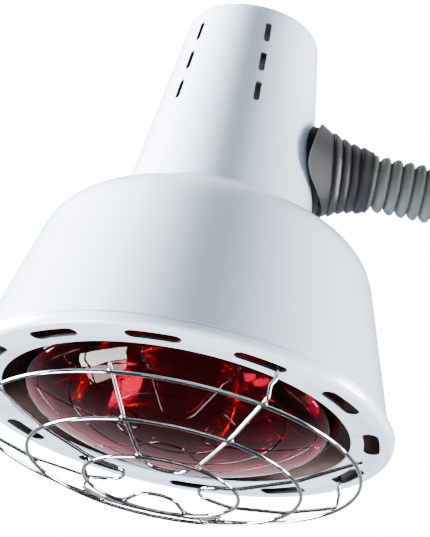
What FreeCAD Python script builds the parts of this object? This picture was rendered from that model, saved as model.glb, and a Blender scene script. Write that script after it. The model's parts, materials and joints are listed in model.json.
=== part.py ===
import FreeCAD, Part
import math
import os
from types import SimpleNamespace

import Sketcher

# Infrared heat therapy lamp: a spun shade with a rolled rim ring and a vented neck, a wire guard
# hooked into the rim, a PAR38 bulb in a porcelain lampholder, and a jointed gooseneck on a stud.
#
# Frames, all in millimetres with Z up:
#   arm frame    origin at the middle of the mounting stud, the gooseneck rises from it
#   lamp frame   origin on the lamp's axis at the lower face of the rim ring, +X towards the gooseneck
#   port frame   the lamp frame raised to the gooseneck's axis, which runs along its +X

SIZES = {
    # rim ring
    "rim_radius": 81.0,
    "rim_band": 15.8,
    "rim_plate": 1.0,
    "skirt_height": 3.4,
    "skirt_wall": 1.2,
    "rim_edge_round": 2.0,
    "opening_edge_round": 0.4,
    "slot_inset": 8.0,
    "slot_width": 6.0,
    "slot_length": 20.0,
    "slot_phase": -10.0,
    "slot_count": 12,
    # shade
    "rim_seat_gap": 0.1,
    "shade_wall": 1.2,
    "shoulder_radius": 61.2,
    "shoulder_height": 68.3,
    "shoulder_round": 22.7,
    "shade_top": 82.1,
    "shade_opening": 29.0,
    "bead_height": 5.6,
    "bead_radius": 0.5,
    # flange screws
    "flange_screw_circle": 32.5,
    "flange_screw_radius": 1.95,
    "flange_screw_length": 7.5,
    "flange_head_radius": 3.4,
    "flange_head_height": 2.4,
    "screw_gap": 0.1,
    # neck
    "neck_foot_radius": 36.7,
    "neck_foot_step": 0.3,
    "neck_top_radius": 25.5,
    "crown_clearance": 16.8,
    "neck_top_round": 5.0,
    "crown_radius": 13.0,
    "crown_rise": 0.8,
    "crown_round": 60.0,
    "neck_wall": 1.2,
    "neck_flange": 3.0,
    "neck_flange_width": 7.2,
    "vent_width": 2.4,
    "vent_height": 9.0,
    "vent_pitch": 14.05,
    "vent_drop": 13.3,
    "vent_count": 3,
    "vent_front_azimuth": 80.0,
    "vent_rear_azimuth": 140.0,
    # socket bracket
    "strap_wall": 1.5,
    "strap_width": 16.0,
    "strap_half_span": 23.0,
    "strap_foot_reach": 33.2,
    "strap_top": 148.4,
    "strap_bend": 3.0,
    # lampholder
    "holder_foot": 101.0,
    "holder_radius": 20.0,
    "holder_top_radius": 18.0,
    "holder_bore": 13.8,
    "holder_ceiling": 135.6,
    "holder_edge_round": 1.5,
    "holder_mouth_round": 0.6,
    "holder_screw_spread": 14.0,
    "holder_screw_radius": 1.7,
    "holder_screw_length": 10.4,
    "holder_head_radius": 3.0,
    "holder_head_height": 2.0,
    "shell_wall": 0.45,
    "shell_gap": 0.25,
    "shell_inset": 3.0,
    "shell_length": 27.0,
    # sprung centre contact
    "contact_radius": 4.0,
    "contact_plate": 1.0,
    "plunger_radius": 2.2,
    "plunger_gap": 0.08,
    "plunger_length": 10.7,
    "spring_chamber": 3.4,
    "spring_chamber_top": 142.0,
    "spring_radius": 2.8,
    "spring_wire": 0.3,
    "spring_turn_count": 4,
    "spring_arc_count": 3,
    # terminal block and leads
    "block_length": 12.0,
    "block_width": 10.0,
    "block_height": 8.0,
    "lead_radius": 1.0,
    "lead_spacing": 2.6,
    "lead_height": 4.0,
    "lead_drop": 22.2,
    "lead_bend": 4.0,
    "lead_end": 44.0,
    # gooseneck port
    "port_height": 111.0,
    "stem_radius": 4.95,
    "stem_bore": 3.5,
    "stem_start": 24.0,
    "port_gap": 0.15,
    "gasket_radius": 17.0,
    "gasket_wall": 2.0,
    "gasket_gap": 0.05,
    "collar_radius": 9.0,
    "collar_end": 44.0,
    "collar_chamfer": 0.8,
    "cup_radius": 8.0,
    "cup_end": 50.0,
    "conduit_inset": 1.0,
    "lock_washer_radius": 8.0,
    "lock_washer_inset": 1.5,
    "lock_washer_wall": 1.2,
    "lock_nut_width": 15.0,
    "lock_nut_height": 4.5,
    "thread_gap": 0.02,
    # rubber boot
    "boot_start": 22.0,
    "boot_flare": 0.67,
    "boot_standoff": 4.2,
    "boot_lean": 7.0,
    "boot_end_lean": 3.4,
    "boot_neck": 39.4,
    "boot_neck_radius": 15.8,
    "boot_end": 55.3,
    "boot_end_radius": 12.0,
    "boot_wall": 2.0,
    "boot_grip_gap": 0.25,
    "boot_rib_pitch": 3.65,
    "boot_rib_rise": 0.9,
    "boot_rib_count": 4,
    "boot_rib_peak_share": 0.3,
    # wire guard
    "guard_wire": 1.4,
    "guard_inset": 9.8,
    "guard_outer_drop": 13.94,
    "guard_middle_radius": 50.7,
    "guard_middle_drop": 22.5,
    "guard_inner_radius": 28.7,
    "guard_inner_drop": 27.55,
    "guard_phase": -88.0,
    "guard_spread": 22.0,
    "guard_eye": 8.4,
    "guard_bend": 20.0,
    "weld_gap": 0.03,
    "hook_bend": 2.0,
    "hook_jog": 1.6,
    "hook_jog_drop": 6.5,
    "hook_jog_rise": 2.5,
    "hook_lip": 7.0,
    "hook_gap": 0.25,
    # bulb
    "bulb_radius": 60.8,
    "lens_apex": -14.5,
    "lens_curve": 120.0,
    "lens_edge_round": 16.0,
    "lens_wall": 3.0,
    "lens_rim": 14.0,
    "reflector_wall": 2.5,
    "reflector_shoulder_radius": 52.4,
    "reflector_shoulder": 36.0,
    "reflector_shoulder_round": 60.0,
    "reflector_waist_radius": 36.0,
    "reflector_waist": 66.0,
    "reflector_waist_round": 50.0,
    "reflector_throat_radius": 25.5,
    "reflector_throat": 81.0,
    "reflector_throat_round": 14.0,
    "reflector_end_radius": 17.5,
    "bulb_collar_foot": 92.0,
    "bulb_collar_radius": 18.5,
    "bulb_collar_top_radius": 13.2,
    "bulb_collar_top": 100.5,
    "cap_radius": 13.0,
    "cap_wall": 0.6,
    "cap_top": 129.0,
    "cap_eye": 9.0,
    "cap_round": 2.0,
    "tip_radius": 4.0,
    "insulator_height": 3.1,
    "tip_height": 1.0,
    "press_radius": 7.0,
    "press_tip_radius": 5.0,
    "press_foot": 74.0,
    "press_gap": 0.05,
    "press_engagement": 4.0,
    "filament_height": 46.0,
    "filament_span": 16.0,
    "filament_radius": 1.2,
    "filament_lead": 0.6,
    "filament_lead_spread": 3.5,
    # gooseneck
    "rib_pitch": 4.65,
    "rib_count": 6,
    "crest_radius": 11.1,
    "valley_radius": 9.5,
    "sleeve_bore": 5.6,
    "sleeve_gap": 2.2,
    "conduit_radius": 5.2,
    "conduit_bore": 3.8,
    "conduit_gap": 0.95,
    "chain_end": 48.15,
    # base fitting
    "stud_radius": 5.0,
    "stud_length": 16.0,
    "stud_bore": 3.2,
    "stud_chamfer": 0.6,
    "hex_width": 27.0,
    "hex_height": 6.0,
    "ferrule_floor": 20.0,
    "ferrule_top": 32.0,
    "ferrule_wall": 2.0,
    "ferrule_round": 1.2,
    "ferrule_gap": 0.3,
    "grub_radius": 1.5,
    "grub_inset": 0.2,
}

LOWER_COUNT = 3
BENT_COUNT = 5
UPPER_COUNT = 2
ROUND_COUNT = 4
FULL_TURN = 360
CUT_OVERRUN = 1
QUARTER = 90.0
ORIGIN = FreeCAD.Vector(0, 0, 0)
Y_AXIS = FreeCAD.Vector(0, 1, 0)
Z_AXIS = FreeCAD.Vector(0, 0, 1)

doc = FreeCAD.newDocument("heat_lamp")
sheet = doc.addObject("Spreadsheet::Sheet", "sizes")
for row, (alias, number) in enumerate(SIZES.items(), start=1):
    sheet.set("A%d" % row, alias)
    sheet.set("B%d" % row, str(number))
    sheet.setAlias("B%d" % row, alias)
doc.recompute()


# ---------------------------------------------------------------------------
# Sizes that keep their sheet expression
# ---------------------------------------------------------------------------


class Size:
    """A number together with the sheet expression that gives it."""

    def __init__(self, value, text=None):
        self.value = float(value)
        self.text = text or "(%r)" % self.value

    def __add__(self, other):
        return combined(self, "+", other, self.value + number_of(other))

    def __radd__(self, other):
        return as_size(other) + self

    def __sub__(self, other):
        return combined(self, "-", other, self.value - number_of(other))

    def __rsub__(self, other):
        return as_size(other) - self

    def __mul__(self, other):
        return combined(self, "*", other, self.value * number_of(other))

    def __rmul__(self, other):
        return as_size(other) * self

    def __truediv__(self, other):
        return combined(self, "/", other, self.value / number_of(other))

    def __rtruediv__(self, other):
        return as_size(other) / self

    def __neg__(self):
        return 0 - self


def as_size(number):
    """A size, made from a plain number where needed."""
    return number if isinstance(number, Size) else Size(number)


def number_of(size):
    """The plain number of a size or a number."""
    return as_size(size).value


def combined(first, sign, second, value):
    """The size that two sizes give with one operation."""
    return Size(value, "(%s %s %s)" % (first.text, sign, as_size(second).text))


def root(size):
    """Square root of a size."""
    return Size(math.sqrt(size.value), "sqrt(%s)" % size.text)


def sine(degrees):
    """Sine of an angle held in degrees."""
    return Size(math.sin(math.radians(degrees.value)), "sin(%s)" % degrees.text)


def bind(thing, path, size):
    """Tie one property of a document object to a size."""
    thing.setExpression(path, as_size(size).text)


size = SimpleNamespace(**{name: Size(sheet.get(name), "sizes." + name) for name in SIZES})

# sizes that follow from the driving ones
opening_radius = size.rim_radius - size.rim_band
slot_circle = size.rim_radius - size.slot_inset
guard_outer_radius = size.rim_radius - size.guard_inset
neck_top = size.strap_top + size.crown_clearance
lens_middle = size.lens_apex + size.lens_curve
lens_lean = (size.bulb_radius - size.lens_edge_round) / (size.lens_curve - size.lens_edge_round)
lens_level = root(1 - lens_lean * lens_lean)
lens_upright = lens_middle - (size.lens_curve - size.lens_edge_round) * lens_level
neck_slope = (size.neck_foot_radius - size.neck_top_radius) / (neck_top - size.shade_top)
flange_top = size.shade_top + size.neck_flange
shade_foot_radius = size.rim_radius - size.skirt_wall - size.rim_seat_gap
holder_top = size.strap_top - size.strap_wall
cap_top = size.cap_top
tip_top = cap_top + size.insulator_height + size.tip_height
cup_bore = size.conduit_radius + size.port_gap
segment_length = size.rib_pitch * size.rib_count
bend_radius = segment_length * (BENT_COUNT * 180 / (QUARTER * math.pi))
lamp_reach = bend_radius + segment_length * UPPER_COUNT + size.chain_end
lamp_height = size.ferrule_floor + segment_length * LOWER_COUNT + bend_radius - size.port_height
flange_face = size.stud_length / 2


def neck_radius(height):
    """Outer radius of the neck at a height in the lamp frame."""
    return size.neck_foot_radius - (height - size.shade_top) * neck_slope


washer_end = neck_radius(size.port_height) - size.neck_wall - size.lock_washer_inset
washer_start = washer_end - size.lock_washer_wall


# ---------------------------------------------------------------------------
# Sketches
# ---------------------------------------------------------------------------


def corner(across, up, fillet=None, arc=None):
    """A corner of an outline: its fillet, or the radius of an arc to the next (minus: clockwise)."""
    return SimpleNamespace(across=as_size(across), up=as_size(up), fillet=fillet, arc=arc)


def spot(item):
    """Where a corner lies, as a vector."""
    return FreeCAD.Vector(item.across.value, item.up.value, 0)


def locate(sketch, geometry, position, item):
    """Fix a point of a sketch at a corner's place, measured from the sketch's origin."""
    places = (("DistanceX", -2, item.across), ("DistanceY", -1, item.up))
    for kind, axis, distance in places:
        if "sizes." not in distance.text and distance.value == 0:
            sketch.addConstraint(Sketcher.Constraint("PointOnObject", geometry, position, axis))
            continue
        rule = Sketcher.Constraint(kind, -1, 1, geometry, position, distance.value)
        bind(sketch, "Constraints[%d]" % sketch.addConstraint(rule), distance)


def hold_radius(sketch, geometry, radius):
    """Tie the radius of an arc or circle to a size."""
    rule = Sketcher.Constraint("Radius", geometry, number_of(radius))
    bind(sketch, "Constraints[%d]" % sketch.addConstraint(rule), radius)


def add_arc(sketch, start, end, centre, radius, counterclockwise):
    """Draw an arc; gives the geometry and which of its points are its start and end."""
    first, last = (start, end) if counterclockwise else (end, start)
    begin = math.atan2(first.y - centre.y, first.x - centre.x)
    finish = math.atan2(last.y - centre.y, last.x - centre.x)
    if finish < begin:
        finish += 2 * math.pi
    circle = Part.Circle(centre, Z_AXIS, radius)
    geometry = sketch.addGeometry(Part.ArcOfCircle(circle, begin, finish), False)
    return (geometry, 1, 2) if counterclockwise else (geometry, 2, 1)


def fillet_points(before, item, after):
    """Where a fillet leaves its two sides, and its centre."""
    middle = spot(item)
    back = (spot(before) - middle).normalize()
    ahead = (spot(after) - middle).normalize()
    half_angle = back.getAngle(ahead) / 2
    radius = number_of(item.fillet)
    run = radius / math.tan(half_angle)
    centre = middle + (back + ahead).normalize() * (radius / math.sin(half_angle))
    return middle + back * run, middle + ahead * run, centre


def draw_leg(sketch, start, end, item):
    """Draw one side of an outline, a line or the arc that its first corner asks for."""
    if item.arc is None:
        return sketch.addGeometry(Part.LineSegment(start, end), False), 1, 2
    radius = number_of(item.arc)
    chord = end - start
    rise = math.sqrt(radius * radius - chord.Length * chord.Length / 4)
    side = Z_AXIS.cross(chord).normalize() * math.copysign(rise, radius)
    return add_arc(sketch, start, end, start + chord / 2 + side, abs(radius), radius > 0)


def round_corner(sketch, item, leg, following, points):
    """Join two sides by a fillet whose corner stays where it was."""
    start, end, centre = points
    turn = (start - centre).cross(end - centre).z > 0
    geometry, first, last = add_arc(sketch, start, end, centre, number_of(item.fillet), turn)
    mark = sketch.addGeometry(Part.Point(spot(item)), True)
    locate(sketch, mark, 1, item)
    sketch.addConstraint(Sketcher.Constraint("PointOnObject", mark, 1, leg[0]))
    sketch.addConstraint(Sketcher.Constraint("PointOnObject", mark, 1, following[0]))
    sketch.addConstraint(Sketcher.Constraint("Tangent", leg[0], leg[2], geometry, first))
    sketch.addConstraint(Sketcher.Constraint("Tangent", geometry, last, following[0], following[1]))
    hold_radius(sketch, geometry, item.fillet)


def draw_outline(sketch, corners):
    """Draw a closed outline through its corners, with their fillets and arcs."""
    count = len(corners)
    rounds = {}
    for index, item in enumerate(corners):
        if item.fillet is not None:
            rounds[index] = fillet_points(corners[index - 1], item, corners[(index + 1) % count])
    legs = []
    for index, item in enumerate(corners):
        following = (index + 1) % count
        start = rounds[index][1] if index in rounds else spot(item)
        end = rounds[following][0] if following in rounds else spot(corners[following])
        legs.append(draw_leg(sketch, start, end, item))
    for index, item in enumerate(corners):
        if item.arc is not None:
            hold_radius(sketch, legs[index][0], item.arc * math.copysign(1, number_of(item.arc)))
        if index in rounds:
            round_corner(sketch, item, legs[index - 1], legs[index], rounds[index])
            continue
        before, after = legs[index - 1], legs[index]
        sketch.addConstraint(Sketcher.Constraint("Coincident", before[0], before[2], after[0], after[1]))
        locate(sketch, after[0], after[1], item)


def draw_circle(sketch, across, up, radius):
    """Draw a circle."""
    place = corner(across, up)
    circle = Part.Circle(spot(place), Z_AXIS, number_of(radius))
    geometry = sketch.addGeometry(circle, False)
    locate(sketch, geometry, 3, place)
    hold_radius(sketch, geometry, radius)


def draw_slot(sketch, across, middle, width, length):
    """Draw an upright slot with round ends."""
    half = width / 2
    reach = length / 2 - half
    left, right = as_size(across) - half, as_size(across) + half
    lines = []
    for side, low, high in ((right, middle - reach, middle + reach), (left, middle + reach, middle - reach)):
        line = Part.LineSegment(spot(corner(side, low)), spot(corner(side, high)))
        geometry = sketch.addGeometry(line, False)
        locate(sketch, geometry, 1, corner(side, low))
        sketch.addConstraint(Sketcher.Constraint("Vertical", geometry))
        lines.append(geometry)
    for index, centre in enumerate((middle + reach, middle - reach)):
        start = spot(corner((right, left)[index], centre))
        end = spot(corner((left, right)[index], centre))
        arc = add_arc(sketch, start, end, spot(corner(across, centre)), half.value, True)
        sketch.addConstraint(Sketcher.Constraint("Tangent", lines[index], 2, arc[0], 1))
        sketch.addConstraint(Sketcher.Constraint("Tangent", arc[0], 2, lines[1 - index], 1))


def draw_arc_slot(sketch, circle, width, length):
    """Draw a slot with round ends that follows a circle about the origin, centred on +X."""
    half = width / 2
    angle = math.degrees((length.value / 2 - half.value) / circle.value)
    tip_angle = (length / 2 - half) / circle * (180 / math.pi)
    low = FreeCAD.Vector(math.cos(math.radians(angle)), -math.sin(math.radians(angle)), 0)
    high = FreeCAD.Vector(low.x, -low.y, 0)
    arcs = []
    for radius in (circle + half, circle - half):
        arc = add_arc(sketch, low * radius.value, high * radius.value, ORIGIN, radius.value, True)
        sketch.addConstraint(Sketcher.Constraint("Coincident", arc[0], 3, -1, 1))
        hold_radius(sketch, arc[0], radius)
        arcs.append(arc[0])
    outer, inner = arcs
    ends = ((high, outer, 2, inner, 2, 1), (low, inner, 1, outer, 1, -1))
    for way, first, first_end, second, second_end, side in ends:
        start = way * (circle.value + side * half.value)
        end = way * (circle.value - side * half.value)
        arc = add_arc(sketch, start, end, way * circle.value, half.value, True)
        sketch.addConstraint(Sketcher.Constraint("Tangent", first, first_end, arc[0], 1))
        sketch.addConstraint(Sketcher.Constraint("Tangent", arc[0], 2, second, second_end))
        rise = circle * sine(tip_angle) * side
        rule = Sketcher.Constraint("DistanceY", -1, 1, arc[0], 3, rise.value)
        bind(sketch, "Constraints[%d]" % sketch.addConstraint(rule), rise)


def thickened(corners, wall):
    """The outline of a sheet whose outer side runs through the corners, with the wall on its left."""
    sides = []
    for first, second in zip(corners, corners[1:]):
        run = second.across - first.across
        rise = second.up - first.up
        length = root(run * run + rise * rise)
        sides.append((-(rise / length), run / length))
    inner = []
    for index, item in enumerate(corners):
        before = sides[max(index - 1, 0)]
        after = sides[min(index, len(sides) - 1)]
        share = wall / (1 + before[0] * after[0] + before[1] * after[1])
        across = item.across + (before[0] + after[0]) * share
        up = item.up + (before[1] + after[1]) * share
        fillet = inner_fillet(corners, index, wall)
        inner.append(corner(across, up, fillet))
    return list(corners) + inner[::-1]


def inner_fillet(corners, index, wall):
    """The fillet of a sheet's inner side, concentric with the outer one."""
    fillet = corners[index].fillet
    if fillet is None:
        return None
    before, item, after = (spot(corners[index + step]) for step in (-1, 0, 1))
    turns_left = (item - before).cross(after - item).z > 0
    return fillet - wall if turns_left else fillet + wall


# ---------------------------------------------------------------------------
# Bodies and features
# ---------------------------------------------------------------------------


def make_body(name):
    """Start a sub-part as a body of its own."""
    body = doc.addObject("PartDesign::Body", name)
    body.Label = name
    return body


def make_sketch(body, name, role="XZ_Plane", shift=None, turn=None):
    """Add a sketch on an origin plane of its body.

    shift gives offsets along the sketch's own x, y and z, and turn spins it about its own y.
    """
    sketch = body.newObject("Sketcher::SketchObject", name)
    plane = next(item for item in body.Origin.OriginFeatures if item.Role == role)
    sketch.AttachmentSupport = [(plane, "")]
    sketch.MapMode = "FlatFace"
    if turn is not None:
        sketch.AttachmentOffset = FreeCAD.Placement(ORIGIN, FreeCAD.Rotation(Y_AXIS, number_of(turn)))
    if turn is not None and turn.value != 0:
        bind(sketch, "AttachmentOffset.Rotation.Angle", turn)
    for axis, distance in (shift or {}).items():
        bind(sketch, "AttachmentOffset.Base." + axis, distance)
    return sketch


def spin(body, name, corners, kind="Revolution", axis="V_Axis", shift=None):
    """Revolve an outline about an axis of its sketch, adding to the body or cutting it."""
    sketch = make_sketch(body, name + "_outline", shift=shift)
    draw_outline(sketch, corners)
    feature = body.newObject("PartDesign::" + kind, name)
    feature.Profile = sketch
    feature.ReferenceAxis = (sketch, [axis])
    feature.Angle = 360
    return feature


def extrude(body, name, sketch, length, kind="Pad", reverse=False, middle=False):
    """Pad or pocket a sketch."""
    feature = body.newObject("PartDesign::" + kind, name)
    feature.Profile = sketch
    feature.Reversed = reverse
    feature.Midplane = middle
    bind(feature, "Length", length)
    return feature


def repeat_round(body, features, count):
    """Repeat features about the body's Z axis."""
    pattern = body.newObject("PartDesign::PolarPattern", body.Label + "_pattern")
    pattern.Originals = features
    axis = next(item for item in body.Origin.OriginFeatures if item.Role == "Z_Axis")
    pattern.Axis = (axis, [""])
    pattern.Angle = 360
    bind(pattern, "Occurrences", count)
    body.Tip = pattern


def place(thing, x=0, y=0, z=0, axis=None, angle=0):
    """Place a sub-part in the arm frame, turned by an angle about an axis."""
    rotation = FreeCAD.Rotation(axis or Z_AXIS, number_of(angle))
    position = FreeCAD.Vector(number_of(x), number_of(y), number_of(z))
    thing.Placement = FreeCAD.Placement(position, rotation)
    for path, distance in (("x", x), ("y", y), ("z", z)):
        bind(thing, "Placement.Base." + path, distance)


def place_in_lamp(thing, x=0, y=0, z=0, axis=None, angle=0):
    """Place a sub-part in the lamp frame."""
    place(thing, as_size(x) - lamp_reach, y, as_size(z) + lamp_height, axis, angle)


def place_in_port(thing):
    """Place a sub-part in the port frame."""
    place_in_lamp(thing, z=size.port_height)


def primitive(kind, name, **sizes):
    """Make a Part primitive with its properties tied to sizes."""
    thing = doc.addObject("Part::" + kind, name)
    thing.Label = name
    for path, value in sizes.items():
        bind(thing, path, value)
    return thing


def feature(name, shape):
    """Make a sub-part from a shape computed with the sheet's sizes."""
    thing = doc.addObject("Part::Feature", name)
    thing.Label = name
    thing.Shape = shape
    return thing


# ---------------------------------------------------------------------------
# Solids of bent wire and of leaning ribs
# ---------------------------------------------------------------------------


def bent_path(points, bends):
    """A wire of straight runs joined by tangent arcs, one bend radius for each inner point."""
    edges = []
    start = points[0]
    for before, middle, after, radius in zip(points, points[1:], points[2:], bends):
        back = (before - middle).normalize()
        ahead = (after - middle).normalize()
        half_angle = back.getAngle(ahead) / 2
        run = radius / math.tan(half_angle)
        centre = middle + (back + ahead).normalize() * (radius / math.sin(half_angle))
        crown = centre + (middle - centre).normalize() * radius
        leave, arrive = middle + back * run, middle + ahead * run
        edges.append(Part.LineSegment(start, leave).toShape())
        edges.append(Part.Arc(leave, crown, arrive).toShape())
        start = arrive
    edges.append(Part.LineSegment(start, points[-1]).toShape())
    return Part.Wire(edges)


def wire_solid(path, radius):
    """A round wire swept along a path."""
    first = path.OrderedEdges[0]
    begin = first.valueAt(first.FirstParameter)
    heading = first.tangentAt(first.FirstParameter)
    profile = Part.Wire(Part.makeCircle(radius, begin, heading))
    return path.makePipeShell([profile], True, False)


def ribbed_solid(rings):
    """A solid ruled through circles, each a centre, a direction and a radius."""
    wires = [Part.Wire(Part.makeCircle(radius, centre, heading)) for centre, heading, radius in rings]
    return Part.makeLoft(wires, True, True)


# ---------------------------------------------------------------------------
# Shade, rim and neck
# ---------------------------------------------------------------------------


def make_rim_ring():
    """Rolled ring round the mouth of the shade, with the slots that take the guard's hooks."""
    body = make_body("rim_ring")
    skirt_bore = size.rim_radius - size.skirt_wall
    spin(body, "ring", [
        corner(opening_radius, 0, size.opening_edge_round),
        corner(size.rim_radius, 0, size.rim_edge_round),
        corner(size.rim_radius, size.skirt_height),
        corner(skirt_bore, size.skirt_height),
        corner(skirt_bore, size.rim_plate),
        corner(opening_radius, size.rim_plate),
    ])
    sketch = make_sketch(body, "slot_outline", "XY_Plane")
    draw_arc_slot(sketch, slot_circle, size.slot_width, size.slot_length)
    slot = extrude(body, "slot", sketch, size.rim_plate, "Pocket", reverse=True)
    repeat_round(body, [slot], size.slot_count)
    place_in_lamp(body, angle=size.slot_phase)
    bind(body, "Placement.Rotation.Angle", FULL_TURN + size.slot_phase)


def make_shade():
    """Spun shade: steep side, large shoulder, flat flange that the neck stands on."""
    body = make_body("shade")
    end_radius = size.neck_foot_radius + size.neck_foot_step
    outer = [
        corner(shade_foot_radius, size.rim_plate),
        corner(size.shoulder_radius, size.shoulder_height, size.shoulder_round),
        corner(end_radius, size.shade_top),
        corner(size.shade_opening, size.shade_top),
    ]
    profile = thickened(outer, size.shade_wall)
    rise = size.shoulder_height - size.rim_plate
    lean = (shade_foot_radius - size.shoulder_radius) / rise
    profile[-1] = corner(shade_foot_radius - size.shade_wall * root(1 + lean * lean), size.rim_plate)
    spin(body, "spun_shell", profile)
    sketch = make_sketch(body, "bead_outline")
    bead_place = shade_foot_radius - (size.bead_height - size.rim_plate) * lean
    draw_circle(sketch, bead_place, size.bead_height, size.bead_radius)
    bead = body.newObject("PartDesign::Revolution", "bead")
    bead.Profile = sketch
    bead.ReferenceAxis = (sketch, ["V_Axis"])
    bead.Angle = 360
    drill_flange(body, size.shade_top + CUT_OVERRUN)
    place_in_lamp(body)


def drill_flange(body, depth):
    """Cut the four holes that the flange screws pass through."""
    sketch = make_sketch(body, "screw_hole_outline", "XY_Plane")
    draw_circle(sketch, size.flange_screw_circle, 0, size.flange_screw_radius + size.screw_gap)
    hole = extrude(body, "screw_hole", sketch, depth, "Pocket", reverse=True)
    repeat_round(body, [hole], ROUND_COUNT)


def make_neck_shell():
    """Tapered neck with a foot flange, a domed top, vent slots and the gooseneck's hole."""
    body = make_body("neck_shell")
    flange_bore = size.neck_foot_radius - size.neck_flange_width
    sheet_top = thickened([
        corner(size.neck_foot_radius, size.shade_top),
        corner(size.neck_top_radius, neck_top, size.neck_top_round),
        corner(size.crown_radius, neck_top + size.crown_rise, size.crown_round),
        corner(0, neck_top + size.crown_rise),
    ], size.neck_wall)
    inner_foot = neck_radius(flange_top) - size.neck_wall * root(1 + neck_slope * neck_slope)
    spin(body, "turned_shell", sheet_top[:-1] + [
        corner(inner_foot, flange_top),
        corner(flange_bore, flange_top),
        corner(flange_bore, size.shade_top),
    ])
    for azimuth in (size.vent_front_azimuth, size.vent_rear_azimuth):
        for side in (1, -1):
            name = "vents_%d_%s" % (azimuth.value, "left" if side > 0 else "right")
            turn = azimuth * side + QUARTER
            sketch = make_sketch(body, name + "_outline", turn=turn if turn.value > 0 else turn + FULL_TURN)
            for step in range(int(size.vent_count.value)):
                middle = neck_top - size.vent_drop - size.vent_pitch * step
                draw_slot(sketch, 0, middle, size.vent_width, size.vent_height)
            extrude(body, name, sketch, size.neck_foot_radius, "Pocket", reverse=True)
    sketch = make_sketch(body, "port_outline", "YZ_Plane")
    draw_circle(sketch, 0, size.port_height, size.stem_radius + size.port_gap)
    extrude(body, "port", sketch, size.neck_foot_radius, "Pocket", reverse=True)
    drill_flange(body, flange_top)
    place_in_lamp(body)


def make_neck_screws():
    """Four pan-head screws, from inside the shade up into the neck's foot."""
    body = make_body("neck_screws")
    seat = size.shade_top - size.shade_wall
    pads = []
    for name, radius, foot, length in (
        ("head", size.flange_head_radius, seat - size.flange_head_height, size.flange_head_height),
        ("shank", size.flange_screw_radius, seat, size.flange_screw_length),
    ):
        sketch = make_sketch(body, name + "_outline", "XY_Plane", shift={"z": foot})
        draw_circle(sketch, size.flange_screw_circle, 0, radius)
        pads.append(extrude(body, name, sketch, length))
    repeat_round(body, pads, ROUND_COUNT)
    place_in_lamp(body)


# ---------------------------------------------------------------------------
# Lampholder inside the neck
# ---------------------------------------------------------------------------


def make_socket_bracket():
    """Steel strap bent to an arch, with notched feet under the flange screws."""
    body = make_body("socket_bracket")
    inside = size.strap_half_span - size.strap_wall
    foot_top = flange_top + size.strap_wall
    inner_bend = size.strap_bend - size.strap_wall
    right = [
        corner(size.strap_foot_reach, flange_top),
        corner(size.strap_foot_reach, foot_top),
        corner(size.strap_half_span, foot_top, inner_bend),
        corner(size.strap_half_span, size.strap_top, size.strap_bend),
    ]
    left = [corner(-item.across, item.up, item.fillet) for item in reversed(right)]
    under = [
        corner(-inside, flange_top, size.strap_bend),
        corner(-inside, holder_top, inner_bend),
        corner(inside, holder_top, inner_bend),
        corner(inside, flange_top, size.strap_bend),
    ]
    sketch = make_sketch(body, "strap_outline", "YZ_Plane")
    draw_outline(sketch, right + left + under)
    extrude(body, "strap", sketch, size.strap_width, middle=True)
    sketch = make_sketch(body, "strap_hole_outline", "XY_Plane")
    for side in (1, -1):
        notch = size.flange_screw_radius + size.screw_gap
        draw_circle(sketch, 0, size.flange_screw_circle * side, notch)
        hole = size.holder_screw_radius + size.screw_gap
        draw_circle(sketch, 0, size.holder_screw_spread * side, hole)
    extrude(body, "strap_holes", sketch, size.strap_top + CUT_OVERRUN, "Pocket", reverse=True)
    place_in_lamp(body)


def make_lampholder():
    """Porcelain lampholder with its bore, spring chamber, plunger guide and screw holes."""
    body = make_body("lampholder")
    guide = size.plunger_radius + size.plunger_gap
    spin(body, "porcelain", [
        corner(size.holder_bore, size.holder_foot, size.holder_mouth_round),
        corner(size.holder_radius, size.holder_foot, size.holder_edge_round),
        corner(size.holder_top_radius, holder_top, size.holder_edge_round),
        corner(guide, holder_top),
        corner(guide, size.spring_chamber_top),
        corner(size.spring_chamber, size.spring_chamber_top),
        corner(size.spring_chamber, size.holder_ceiling),
        corner(size.holder_bore, size.holder_ceiling),
    ])
    depth = size.holder_screw_length - size.strap_wall + size.screw_gap
    sketch = make_sketch(body, "holder_hole_outline", "XY_Plane", shift={"z": holder_top})
    for side in (1, -1):
        hole = size.holder_screw_radius + size.screw_gap / 2
        draw_circle(sketch, 0, size.holder_screw_spread * side, hole)
    extrude(body, "holder_holes", sketch, depth, "Pocket")
    place_in_lamp(body)


def make_shell_contact():
    """Thin metal shell in the lampholder's bore, which the bulb's cap screws into."""
    body = make_body("shell_contact")
    inner = size.cap_radius + size.shell_gap
    foot = size.holder_foot + size.shell_inset
    spin(body, "shell", [
        corner(inner, foot),
        corner(inner + size.shell_wall, foot),
        corner(inner + size.shell_wall, foot + size.shell_length),
        corner(inner, foot + size.shell_length),
    ])
    place_in_lamp(body)


def make_holder_screws():
    """Two screws that hold the lampholder up against the strap."""
    body = make_body("holder_screws")
    for name, radius, length, down in (
        ("head", size.holder_head_radius, size.holder_head_height, False),
        ("shank", size.holder_screw_radius, size.holder_screw_length, True),
    ):
        sketch = make_sketch(body, name + "_outline", "XY_Plane", shift={"z": size.strap_top})
        for side in (1, -1):
            draw_circle(sketch, 0, size.holder_screw_spread * side, radius)
        extrude(body, name, sketch, length, reverse=down)
    place_in_lamp(body)


def make_contact_plunger():
    """Sprung centre contact: a disc on a stem that slides in the lampholder."""
    body = make_body("contact_plunger")
    plate_top = tip_top + size.contact_plate
    spin(body, "plunger", [
        corner(0, tip_top),
        corner(size.contact_radius, tip_top),
        corner(size.contact_radius, plate_top),
        corner(size.plunger_radius, plate_top),
        corner(size.plunger_radius, plate_top + size.plunger_length),
        corner(0, plate_top + size.plunger_length),
    ])
    place_in_lamp(body)


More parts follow.
